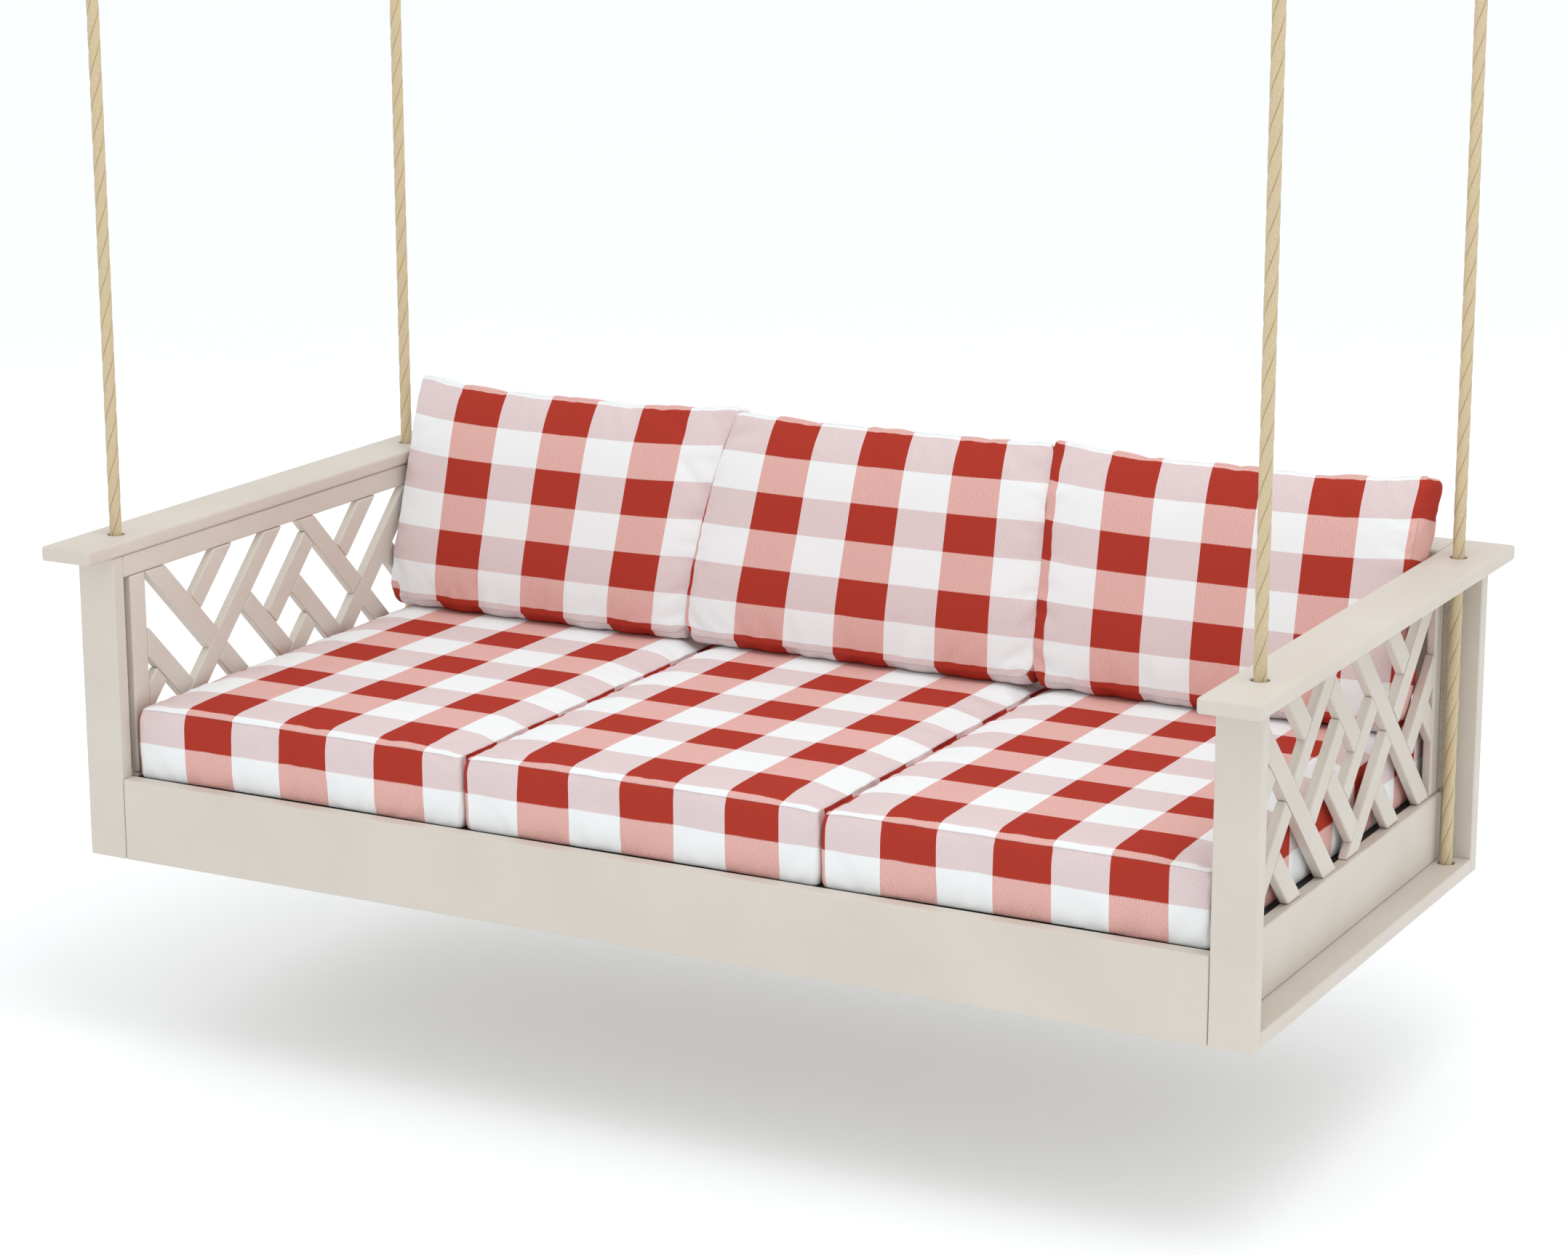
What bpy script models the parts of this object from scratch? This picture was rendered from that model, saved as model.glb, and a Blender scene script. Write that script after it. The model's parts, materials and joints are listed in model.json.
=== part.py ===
"""Hanging porch swing: a wide three-seat daybed of moulded lumber that hangs on four ropes.

Lengths are metres. Heights in this file are measured from the underside of the posts, and the
whole object hangs from one empty that puts the ceiling plane at z = 0.
+X is the sitter's left-to-right width seen from the front, -Y is the front, +Z is up.
"""
import bmesh
import bpy
from math import asin, atan2, cos, hypot, pi, radians, sin, tan
from mathutils import Matrix, Vector

GAP = 0.0003

# Overall frame
POST_OUTER_X = 1.040
POST_INNER_X = 0.968
POST_OUTER_Y = 0.4974
POST_THICK = 0.0278
POST_HEIGHT = 0.5138
RAIL_HEIGHT = 0.1385
CEILING_HEIGHT = 1.760

# Arms and back cap
CAP_WIDTH = 0.098
CAP_THICK = 0.0249
CAP_OUTER_X = 1.0625
CAP_OUTER_Y = 0.5637
CAP_EDGE = 0.005

# Side and back panels
PLATE_THICK = 0.0255
PLATE_INNER_X = 0.9425
SIDE_RAIL_THICK = 0.0223
TOP_RAIL_HEIGHT = 0.0370
PANEL_HALF = 0.4537
STILE_WIDTH = 0.040
SLAT_WIDTH = 0.0381
SLAT_THICK = 0.016
LATTICE_PITCH = 0.1454
LATTICE_FIRST = 0.0889
LATTICE_LAP = 0.004
EASED_EDGE = 0.0025

# Seat deck
DECK_TOP = 0.1335
MESH_THICK = 0.002
DECK_SLAT_THICK = 0.0185
DECK_SLAT_COUNT = 19
DECK_SLAT_WIDTH = 0.089
BEAM_WIDTH = 0.038
BEAM_HEIGHT = 0.060
LEDGER_SIZE = 0.025
DECK_LAP = 0.001

# Cushions
CUSHION_WIDTH = 0.640
CUSHION_SPLIT = 0.003
CUSHION_FRONT_Y = -0.467
CUSHION_REAR_Y = 0.462
CUSHION_TOP = 0.2680
CUSHION_EDGE = 0.012
PILLOW_LEFT_EDGES = {"left": (-0.9640, -0.954), "centre": (-0.3455, -0.2955), "right": (0.3260, 0.3100)}
PILLOW_RIGHT_EDGES = {"left": (-0.3475, -0.2975), "centre": (0.3240, 0.3070), "right": (0.9625, 0.9625)}
PILLOW_HEIGHT = 0.420
PILLOW_EDGE_THICK = 0.085
PILLOW_MIDDLE_THICK = 0.122
PILLOW_LEAN = radians(16.2)
PILLOW_FOOT_Y = 0.3205

# Ropes and their holes
ROPE_X = 1.0092
ROPE_Y = 0.4338
ROPE_RADIUS = 0.010
ROPE_HOLE_RADIUS = 0.0143
ROPE_POINT_STEP = 0.055
WASHER_RADIUS = 0.014
WASHER_THICK = 0.0025
STOP_RADIUS = 0.0125
STOP_DEPTH = 0.0120
BEND_ROOM = 0.0035

# Hanging hardware
CEILING_PLATE_RADIUS = 0.038
CEILING_PLATE_THICK = 0.006
PLATE_SCREW_CIRCLE = 0.0275
PLATE_SCREW_RADIUS = 0.0033
EYE_LEG = 0.012
EYE_RADIUS = 0.017
EYE_WIRE = 0.005
LINK_RADIUS = 0.021
LINK_WIRE = 0.005
LINK_LENGTH = 0.084
LINK_NUT_LENGTH = 0.024
LINK_NUT_RADIUS = 0.0085
THIMBLE_RADIUS = 0.015
THIMBLE_SHEET = 0.003
THIMBLE_HALF_WIDTH = 0.0118
THIMBLE_FLANGE = 0.007
THIMBLE_THROAT = 0.0022
LOOP_DROP = 0.065
SLEEVE_HEIGHT = 0.045
SLEEVE_HALF_WIDTH = 0.0222
SLEEVE_HALF_DEPTH = 0.0125
SLEEVE_NECK = 0.0115
SLEEVE_LAP = 0.006

# Steel angle that ties each side panel to its post
BRACKET_LOW = 0.1446
BRACKET_FOOT = 0.046
BRACKET_LEG = 0.024
BRACKET_SIDE_LEG = 0.0255
BRACKET_SHEET = 0.0025

# Heights that follow from the sizes above
CAP_TOP = POST_HEIGHT + GAP + CAP_THICK
HOLE_PIVOT = CAP_TOP - CAP_THICK / 2
TOP_RAIL_LOW = POST_HEIGHT - TOP_RAIL_HEIGHT
POST_INNER_Y = POST_OUTER_Y - POST_THICK
EYE_WIRE_HEIGHT = CEILING_HEIGHT - CEILING_PLATE_THICK - EYE_LEG - EYE_RADIUS
LINK_TOP = EYE_WIRE_HEIGHT + EYE_WIRE + LINK_WIRE + GAP
LINK_BOTTOM = LINK_TOP - LINK_LENGTH
SEAT_IN_LINK = LINK_RADIUS - ((LINK_RADIUS - LINK_WIRE) ** 2 - THIMBLE_HALF_WIDTH ** 2) ** 0.5
LOOP_CENTRE = LINK_BOTTOM + SEAT_IN_LINK + 2 * GAP - THIMBLE_RADIUS
SLEEVE_TOP = LOOP_CENTRE - LOOP_DROP
SLEEVE_BOTTOM = SLEEVE_TOP - SLEEVE_HEIGHT

SIDES = {"left": -1, "right": 1}
ENDS = {"front": -1, "rear": 1}
SEATS = {"left": -1, "centre": 0, "right": 1}


# ---------------------------------------------------------------- materials and scene helpers

def material(name, color, roughness, metallic=0.0):
    made = bpy.data.materials.new(name)
    made.use_nodes = True
    made.diffuse_color = (*color, 1)
    shader = made.node_tree.nodes["Principled BSDF"]
    shader.inputs["Base Color"].default_value = (*color, 1)
    shader.inputs["Roughness"].default_value = roughness
    shader.inputs["Metallic"].default_value = metallic
    return made


def empty(name, place, parent=None):
    made = bpy.data.objects.new(name, None)
    made.location = place
    made.parent = parent
    bpy.context.collection.objects.link(made)
    return made


def mesh_object(name, bm, look, pivot):
    """Turns a bmesh drawn in the frame's own coordinates into an object on its pivot."""
    bmesh.ops.translate(bm, verts=bm.verts, vec=-pivot.location)
    bmesh.ops.recalc_face_normals(bm, faces=bm.faces)
    mesh = bpy.data.meshes.new(name)
    bm.to_mesh(mesh)
    bm.free()
    if look:
        mesh.materials.append(look)
    made = bpy.data.objects.new(name, mesh)
    made.parent = pivot
    bpy.context.collection.objects.link(made)
    return made


def add_box(bm, low, high):
    low, high = Vector(low), Vector(high)
    size = high - low
    place = Matrix.Translation((low + high) / 2) @ Matrix.Diagonal((*size, 1))
    bmesh.ops.create_cube(bm, size=1, matrix=place)


def add_cylinder(bm, centre, radius, length, sides):
    bmesh.ops.create_cone(bm, cap_ends=True, segments=sides, radius1=radius, radius2=radius,
                          depth=length, matrix=Matrix.Translation(centre))


def add_prism(bm, outline, along):
    """A closed prism: outline is a list of points in order, along the vector it is pushed by."""
    near = [bm.verts.new(p) for p in outline]
    far = [bm.verts.new(Vector(p) + Vector(along)) for p in outline]
    bm.faces.new(near)
    bm.faces.new(far)
    for i in range(len(outline)):
        j = (i + 1) % len(outline)
        bm.faces.new((near[i], near[j], far[j], far[i]))


def add_sweep(bm, path, section, flat_axis, closed):
    """Sweeps a section along a path in the plane across flat_axis.

    Each section point is (outward, sideways): outward in the plane, sideways along flat_axis.
    """
    flat = Vector(flat_axis)
    rings = []
    for i, point in enumerate(path):
        before = path[i - 1] if closed or i else point
        after = path[(i + 1) % len(path)] if closed or i + 1 < len(path) else point
        outward = (after - before).normalized().cross(flat)
        rings.append([bm.verts.new(point + outward * a + flat * b) for a, b in section])
    count = len(section)
    for i in range(len(rings) if closed else len(rings) - 1):
        near, far = rings[i], rings[(i + 1) % len(rings)]
        for j in range(count):
            k = (j + 1) % count
            bm.faces.new((near[j], near[k], far[k], far[j]))
    if not closed:
        bm.faces.new(rings[0])
        bm.faces.new(rings[-1])


def add_turned(bm, x, y, rings, sides=16):
    """A closed upright solid through oval rings, each (half width, half depth, height)."""
    made = [[bm.verts.new((x + wide * cos(2 * pi * i / sides), y + deep * sin(2 * pi * i / sides), z))
             for i in range(sides)] for wide, deep, z in rings]
    bm.faces.new(made[0])
    bm.faces.new(made[-1])
    for near, far in zip(made, made[1:]):
        for i in range(sides):
            j = (i + 1) % sides
            bm.faces.new((near[i], near[j], far[j], far[i]))


def round_section(radius, sides):
    return [(radius * cos(2 * pi * i / sides), radius * sin(2 * pi * i / sides))
            for i in range(sides)]


def board(name, low, high, look, pivot, edge=EASED_EDGE, segments=1):
    """One length of lumber with eased edges."""
    bm = bmesh.new()
    add_box(bm, low, high)
    made = mesh_object(name, bm, look, pivot)
    ease = made.modifiers.new("eased edges", "BEVEL")
    ease.width = edge
    ease.segments = segments
    return made


def combine(target, helper, operation):
    """Cuts a helper shape out of an object, or joins it on, and hides the helper."""
    step = target.modifiers.new(operation.lower(), "BOOLEAN")
    step.operation = operation
    step.object = helper
    step.solver = "EXACT"
    helper.hide_render = True
    helper.display_type = "WIRE"


def cut(target, cutter):
    combine(target, cutter, "DIFFERENCE")


def join(target, helper):
    combine(target, helper, "UNION")


def tube(name, lines, radius, resolution, look, pivot):
    """A rope's plain solid: one capped tube for each line of points."""
    curve = bpy.data.curves.new(name, "CURVE")
    curve.dimensions = "3D"
    curve.bevel_depth = radius
    curve.bevel_resolution = resolution
    curve.use_fill_caps = True
    for line in lines:
        spline = curve.splines.new("POLY")
        spline.points.add(len(line) - 1)
        for point, place in zip(spline.points, line):
            point.co = (*(Vector(place) - pivot.location), 1)
    curve.materials.append(look)
    made = bpy.data.objects.new(name, curve)
    made.parent = pivot
    bpy.context.collection.objects.link(made)
    return made


# ---------------------------------------------------------------- seat frame

def make_posts(look, pivot):
    for end, fy in ENDS.items():
        for side, fx in SIDES.items():
            xs = sorted((fx * (POST_INNER_X + GAP), fx * POST_OUTER_X))
            ys = sorted((fy * POST_INNER_Y, fy * POST_OUTER_Y))
            board(f"post_{end}_{side}", (xs[0], ys[0], 0), (xs[1], ys[1], POST_HEIGHT), look, pivot)


def make_end_rails(look, pivot):
    """The deep front and rear rails that stand between the posts."""
    for name, fy in (("front_rail", -1), ("rear_rail", 1)):
        ys = sorted((fy * POST_INNER_Y, fy * POST_OUTER_Y))
        half = POST_INNER_X
        board(name, (-half, ys[0], 0), (half, ys[1], RAIL_HEIGHT), look, pivot)


def make_rope_holes(pivot):
    """One cutter at each corner, long enough for the arm and the bottom plate."""
    cutters = {}
    for end, fy in ENDS.items():
        for side, fx in SIDES.items():
            bm = bmesh.new()
            add_cylinder(bm, (fx * ROPE_X, fy * ROPE_Y, CAP_TOP / 2), ROPE_HOLE_RADIUS,
                         CAP_TOP + 0.1, 32)
            cutters[end, side] = mesh_object(f"rope_hole_{end}_{side}", bm, None, pivot)
    return cutters


def make_arms(look, pivot, holes):
    for side, fx in SIDES.items():
        xs = sorted((fx * (CAP_OUTER_X - CAP_WIDTH), fx * CAP_OUTER_X))
        arm = board(f"arm_{side}", (xs[0], -CAP_OUTER_Y, CAP_TOP - CAP_THICK),
                    (xs[1], CAP_OUTER_Y, CAP_TOP), look, pivot, CAP_EDGE, 2)
        for end in ENDS:
            cut(arm, holes[end, side])


def make_back_cap(look, pivot):
    half = CAP_OUTER_X - CAP_WIDTH - GAP
    board("back_cap", (-half, CAP_OUTER_Y - CAP_WIDTH, CAP_TOP - CAP_THICK),
          (half, CAP_OUTER_Y, CAP_TOP), look, pivot, CAP_EDGE, 2)


def make_bottom_plates(look, pivot, holes):
    for side, fx in SIDES.items():
        xs = sorted((fx * PLATE_INNER_X, fx * POST_OUTER_X))
        reach = POST_INNER_Y - GAP
        plate = board(f"bottom_plate_{side}", (xs[0], -reach, 0), (xs[1], reach, PLATE_THICK),
                      look, pivot)
        for end in ENDS:
            cut(plate, holes[end, side])


def make_side_rails(look, pivot):
    """The deep lower rail and the thin upper rail of each side panel."""
    for side, fx in SIDES.items():
        xs = sorted((fx * POST_INNER_X, fx * (POST_INNER_X + SIDE_RAIL_THICK)))
        board(f"side_rail_{side}", (xs[0], -PANEL_HALF, PLATE_THICK + GAP),
              (xs[1], PANEL_HALF, RAIL_HEIGHT), look, pivot)
        reach = POST_INNER_Y - GAP
        board(f"side_top_rail_{side}", (xs[0], -reach, TOP_RAIL_LOW), (xs[1], reach, POST_HEIGHT),
              look, pivot)


def make_back_top_rail(look, pivot):
    board("back_top_rail", (-POST_INNER_X, POST_INNER_Y, TOP_RAIL_LOW),
          (POST_INNER_X, POST_INNER_Y + SIDE_RAIL_THICK, POST_HEIGHT), look, pivot)


# ---------------------------------------------------------------- lattice

def clipped(outline, normal, limit):
    """The part of a convex outline where its points' dot product with normal is under limit."""
    kept = []
    for i, here in enumerate(outline):
        there = outline[(i + 1) % len(outline)]
        a, b = here.dot(normal) - limit, there.dot(normal) - limit
        if a <= 0:
            kept.append(here)
        if a * b < 0:
            kept.append(here.lerp(there, a / (a - b)))
    return kept


def lattice_runs(number, rising):
    """Where one diagonal slat is whole, as pairs of crossing slats that it butts against.

    None means that it runs to the panel's edge. The weave repeats every three slats.
    """
    turn = number % 3
    if rising:
        runs = {0: [(None, None)],
                1: [(1 - number, 3 - number), (4 - number, None)],
                2: [(None, 2 - number), (3 - number, 5 - number)]}
    else:
        runs = {0: [(None, 3 - number), (3 - number, None)],
                1: [(4 - number, 2 - number)],
                2: [(4 - number, 2 - number)]}
    return runs[turn]


def lattice_outlines(half_width, low, high, rising):
    """The outlines of the slats that lean one way, as lists of (across, up) points."""
    reach = SLAT_WIDTH / 2 * 2 ** 0.5
    across, along = Vector((1, -1)), Vector((1, 1))
    if not rising:
        across, along = along, across
    frame = [Vector((-half_width, low)), Vector((half_width, low)),
             Vector((half_width, high)), Vector((-half_width, high))]
    sign = 1 if rising else -1
    outlines = []
    for number in range(-2, 5):
        middle = -sign * (LATTICE_FIRST + LATTICE_PITCH * number)
        for first, last in lattice_runs(number, rising):
            outline = clipped(frame, across, middle + reach)
            outline = clipped(outline, -across, reach - middle)
            if first is not None:
                edge = sign * (LATTICE_FIRST + LATTICE_PITCH * first) + reach - LATTICE_LAP
                outline = clipped(outline, -along, -edge)
            if last is not None:
                edge = sign * (LATTICE_FIRST + LATTICE_PITCH * last) - reach + LATTICE_LAP
                outline = clipped(outline, along, edge)
            if len(outline) > 2:
                outlines.append(outline)
    return outlines


def make_panel(name, bays, half_bay, stiles, place, push, look, pivot):
    """One lattice panel: slats that lean both ways in each bay, joined to upright stiles.

    place turns (across, up) into a point on the panel's inner face; push is its thickness.
    """
    low, high = RAIL_HEIGHT + GAP, TOP_RAIL_LOW - GAP
    leaning = []
    for rising in (True, False):
        bm = bmesh.new()
        for bay in bays:
            for outline in lattice_outlines(half_bay + LATTICE_LAP, low, high, rising):
                add_prism(bm, [place(bay + p.x, p.y) for p in outline], push)
        leaning.append(bm)
    uprights = bmesh.new()
    for middle in stiles:
        near, far = middle - STILE_WIDTH / 2, middle + STILE_WIDTH / 2
        outline = [place(near, low), place(far, low), place(far, high), place(near, high)]
        add_prism(uprights, outline, push)
    panel = mesh_object(name, leaning[0], look, pivot)
    join(panel, mesh_object(f"{name}_falling_slats", leaning[1], None, pivot))
    join(panel, mesh_object(f"{name}_uprights", uprights, None, pivot))


def make_side_lattices(look, pivot):
    """The two side panels are the same panel, turned half round."""
    half_bay = PANEL_HALF - STILE_WIDTH
    stiles = [fy * (PANEL_HALF - STILE_WIDTH / 2) for fy in ENDS.values()]
    for side, fx in SIDES.items():
        def place(across, up):
            return (fx * POST_INNER_X, -fx * across, up)
        make_panel(f"side_lattice_{side}", [0], half_bay, stiles, place, (fx * SLAT_THICK, 0, 0),
                   look, pivot)


def make_back_lattice(look, pivot):
    """Two bays of lattice with a stile between them."""
    half_bay = (POST_INNER_X - STILE_WIDTH * 1.5) / 2
    bays = [fx * (STILE_WIDTH / 2 + half_bay) for fx in SIDES.values()]
    stiles = [place * (POST_INNER_X - STILE_WIDTH / 2) for place in SEATS.values()]
    make_panel("back_lattice", bays, half_bay, stiles,
               lambda across, up: (across, POST_INNER_Y, up), (0, SLAT_THICK, 0), look, pivot)


# ---------------------------------------------------------------- seat deck and fasteners

def make_deck(lumber, cloth, pivot):
    """Slats from front to rear under a thin open mesh, on two ledgers and two beams."""
    reach_x, reach_y = POST_INNER_X - GAP, POST_INNER_Y - GAP
    slat_top = DECK_TOP - MESH_THICK - GAP
    slat_low = slat_top - DECK_SLAT_THICK
    support_top = slat_low + DECK_LAP

    bm = bmesh.new()
    add_box(bm, (-reach_x, -reach_y, DECK_TOP - MESH_THICK), (reach_x, reach_y, DECK_TOP))
    mesh_object("seat_mesh", bm, cloth, pivot)

    slats = bmesh.new()
    step = (2 * reach_x - DECK_SLAT_WIDTH) / (DECK_SLAT_COUNT - 1)
    for i in range(DECK_SLAT_COUNT):
        x = -reach_x + i * step
        add_box(slats, (x, -reach_y, slat_low), (x + DECK_SLAT_WIDTH, reach_y, slat_top))
    deck = mesh_object("seat_deck", slats, lumber, pivot)

    supports = bmesh.new()
    beam_reach = PLATE_INNER_X - GAP
    for fy in ENDS.values():
        middle = fy * (reach_y - LEDGER_SIZE / 2 - GAP)
        add_box(supports, (-beam_reach, middle - LEDGER_SIZE / 2, support_top - LEDGER_SIZE),
                (beam_reach, middle + LEDGER_SIZE / 2, support_top))
        middle = fy * reach_y / 3
        add_box(supports, (-beam_reach, middle - BEAM_WIDTH / 2, support_top - BEAM_HEIGHT),
                (beam_reach, middle + BEAM_WIDTH / 2, support_top))
    join(deck, mesh_object("deck_supports", supports, None, pivot))


def make_brackets(steel, pivot):
    """A steel angle in each corner, with one leg behind the panel's stile.

    The leg on the post runs on down past the side rail.
    """
    x_near = POST_INNER_X + SLAT_THICK + GAP
    x_far = x_near + BRACKET_LEG
    x_strip = POST_INNER_X + SIDE_RAIL_THICK + GAP
    y_post = POST_INNER_Y - GAP
    y_face = y_post - BRACKET_SHEET
    y_side = y_post - BRACKET_SIDE_LEG
    corner = [(x_near, y_post), (x_far, y_post), (x_far, y_face),
              (x_near + BRACKET_SHEET, y_face), (x_near + BRACKET_SHEET, y_side), (x_near, y_side)]
    strip = [(x_strip, y_post), (x_far, y_post), (x_far, y_face), (x_strip, y_face)]
    for end, fy in ENDS.items():
        for side, fx in SIDES.items():
            angle, foot = bmesh.new(), bmesh.new()
            add_prism(angle, [(fx * x, fy * y, BRACKET_LOW) for x, y in corner],
                      (0, 0, TOP_RAIL_LOW - GAP - BRACKET_LOW))
            add_prism(foot, [(fx * x, fy * y, BRACKET_FOOT) for x, y in strip],
                      (0, 0, BRACKET_LOW + BRACKET_LEG - BRACKET_FOOT))
            made = mesh_object(f"corner_bracket_{end}_{side}", angle, steel, pivot)
            join(made, mesh_object(f"bracket_foot_{end}_{side}", foot, None, pivot))


# ---------------------------------------------------------------- cushions

def make_seat_cushions(look, pivot):
    for seat, place in SEATS.items():
        middle = place * CUSHION_WIDTH
        half = (CUSHION_WIDTH - CUSHION_SPLIT) / 2
        board(f"seat_cushion_{seat}", (middle - half, CUSHION_FRONT_Y, DECK_TOP + GAP),
              (middle + half, CUSHION_REAR_Y, CUSHION_TOP), look, pivot, CUSHION_EDGE, 2)


def make_back_pillows(look, pivot):
    """Box pillows that stand on the seat and lean back on the back cap.

    Each side edge runs between an x at the bottom and an x at the top.
    """
    edge, bulge = PILLOW_EDGE_THICK / 2, PILLOW_MIDDLE_THICK / 2
    foot = CUSHION_TOP + GAP * 3
    rear_foot = PILLOW_EDGE_THICK * tan(PILLOW_LEAN) / PILLOW_HEIGHT
    profile = [(-edge, 0), (-bulge, 0.24), (-bulge, 0.74), (-edge, 1),
               (edge, 1), (bulge, 0.74), (bulge, 0.24), (edge, rear_foot)]
    across = Vector((0, cos(PILLOW_LEAN), -sin(PILLOW_LEAN)))
    up = Vector((0, sin(PILLOW_LEAN), cos(PILLOW_LEAN)))
    start = Vector((0, PILLOW_FOOT_Y, foot - edge * sin(PILLOW_LEAN)))
    for seat in SEATS:
        sides = []
        bm = bmesh.new()
        for low, high in (PILLOW_LEFT_EDGES[seat], PILLOW_RIGHT_EDGES[seat]):
            outline = [start + across * a + up * b * PILLOW_HEIGHT
                       + Vector((low + (high - low) * b, 0, 0)) for a, b in profile]
            sides.append([bm.verts.new(p) for p in outline])
        near, far = sides
        bm.faces.new(near)
        bm.faces.new(far)
        for i in range(len(near)):
            j = (i + 1) % len(near)
            bm.faces.new((near[i], near[j], far[j], far[i]))
        mesh_object(f"back_pillow_{seat}", bm, look, pivot)


# ---------------------------------------------------------------- ropes

def upright(x, y, low, high):
    """Points up a plumb rope, two to three diameters apart."""
    count = max(2, round((high - low) / ROPE_POINT_STEP) + 1)
    return [(x, y, low + (high - low) * i / (count - 1)) for i in range(count)]


def loop_angle(radius, end_x, drop):
    """How far below level a leg leaves a circle to reach a point end_x out and drop below."""
    return asin(radius / hypot(drop, end_x)) - atan2(end_x, drop)


def teardrop(radius, lean, leg, points):
    """An arc over the top with two straight legs, as (across, up) from the arc's centre."""
    arc = [(radius * cos(a), radius * sin(a))
           for a in (-lean + (pi + 2 * lean) * i / (points - 1) for i in range(points))]
    first, last = arc[0], arc[-1]
    drop = leg * cos(lean)
    shift = leg * sin(lean)
    return ([(first[0] - shift, first[1] - drop)] + arc + [(last[0] + shift, last[1] - drop)])


def make_upper_rope(name, x, y, low, rope, pivot):
    """The plumb rope from the arm's hole up to the whipping below its eye."""
    plumb = upright(x, y, low, SLEEVE_BOTTOM - GAP)
    tube(f"rope_upper_{name}", [plumb], ROPE_RADIUS, 3, rope, pivot)


def make_rope_eye(name, x, y, rope, pivot):
    """The rope's spliced eye and the whipping that binds it, wide over two legs."""
    radius = THIMBLE_RADIUS + THIMBLE_SHEET + GAP + ROPE_RADIUS
    end_x = ROPE_RADIUS + GAP / 2
    drop = LOOP_DROP + SLEEVE_LAP
    lean = loop_angle(radius, end_x, drop)
    leg = (radius * cos(lean) - end_x) / sin(lean)
    path = [Vector((x + a, y, LOOP_CENTRE + b)) for a, b in teardrop(radius, lean, leg, 15)]
    loop = bmesh.new()
    add_sweep(loop, path, round_section(ROPE_RADIUS, 10), (0, -1, 0), False)
    bm = bmesh.new()
    wide, deep, neck = SLEEVE_HALF_WIDTH, SLEEVE_HALF_DEPTH, SLEEVE_NECK
    add_turned(bm, x, y, [(wide, deep, SLEEVE_TOP), (wide, deep, SLEEVE_TOP - SLEEVE_HEIGHT / 2),
                          (deep, deep, SLEEVE_BOTTOM + SLEEVE_HEIGHT / 10),
                          (neck, neck, SLEEVE_BOTTOM)])
    eye = mesh_object(f"rope_eye_{name}", bm, rope, pivot)
    join(eye, mesh_object(f"eye_loop_{name}", loop, None, pivot))


def make_thimble(name, x, y, steel, pivot):
    """The grooved steel teardrop that lines the rope's eye."""
    inner, outer = THIMBLE_RADIUS, THIMBLE_RADIUS + THIMBLE_SHEET
    lean = loop_angle(outer + GAP + ROPE_RADIUS, ROPE_RADIUS + GAP / 2, LOOP_DROP + SLEEVE_LAP)
    leg = (inner * cos(lean) - THIMBLE_THROAT) / sin(lean)
    path = [Vector((x + a, y, LOOP_CENTRE + b)) for a, b in teardrop(inner, lean, leg, 15)]
    wide, lip = THIMBLE_HALF_WIDTH, THIMBLE_FLANGE + THIMBLE_SHEET
    groove = ROPE_RADIUS + GAP
    section = [(0, -wide), (lip, -wide), (lip, -groove), (THIMBLE_SHEET, -groove),
               (THIMBLE_SHEET, groove), (lip, groove), (lip, wide), (0, wide)]
    bm = bmesh.new()
    add_sweep(bm, path, section, (0, -1, 0), False)
    mesh_object(f"thimble_{name}", bm, steel, pivot)


def make_lower_ropes(rope, steel, pivot):
    """Each rope's run down the bay and through the bottom plate, and the stop that holds it."""
    for end, fy in ENDS.items():
        for side, fx in SIDES.items():
            x, y = fx * ROPE_X, fy * ROPE_Y
            bend = end == "front" and side == "left"
            top = HOLE_PIVOT - (ROPE_RADIUS + GAP if bend else BEND_ROOM)
            tube(f"rope_lower_{end}_{side}", [upright(x, y, 0, top)], ROPE_RADIUS, 2, rope, pivot)
            bm = bmesh.new()
            flange, knob = WASHER_RADIUS, STOP_RADIUS
            add_turned(bm, x, y, [(flange, flange, -GAP), (flange, flange, -WASHER_THICK),
                                  (knob, knob, -WASHER_THICK - GAP), (knob, knob, -STOP_DEPTH)])
            mesh_object(f"rope_stop_{end}_{side}", bm, steel, pivot)


# ---------------------------------------------------------------- hanging hardware

def make_ceiling_plate(name, x, y, steel, pivot):
    """A round plate under the ceiling with a welded eye and four screw holes."""
    plate = bmesh.new()
    middle = CEILING_HEIGHT - CEILING_PLATE_THICK / 2
    add_cylinder(plate, (x, y, middle), CEILING_PLATE_RADIUS, CEILING_PLATE_THICK, 32)
    made = mesh_object(f"ceiling_plate_{name}", plate, steel, pivot)

    holes = bmesh.new()
    for i in range(4):
        turn = pi / 4 + pi / 2 * i
        centre = (x + PLATE_SCREW_CIRCLE * cos(turn), y + PLATE_SCREW_CIRCLE * sin(turn), middle)
        add_cylinder(holes, centre, PLATE_SCREW_RADIUS, 3 * CEILING_PLATE_THICK, 10)
    cutter = mesh_object(f"screw_holes_{name}", holes, None, pivot)

    arc_centre = EYE_WIRE_HEIGHT + EYE_RADIUS
    arc = [Vector((x + EYE_RADIUS * cos(a), y, arc_centre + EYE_RADIUS * sin(a)))
           for a in (pi + pi * i / 10 for i in range(11))]
    path = [Vector((x - EYE_RADIUS, y, middle))] + arc + [Vector((x + EYE_RADIUS, y, middle))]
    eye = bmesh.new()
    add_sweep(eye, path, round_section(EYE_WIRE, 10), (0, 1, 0), False)
    cut(made, cutter)
    join(made, mesh_object(f"eye_shape_{name}", eye, None, pivot))


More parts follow.
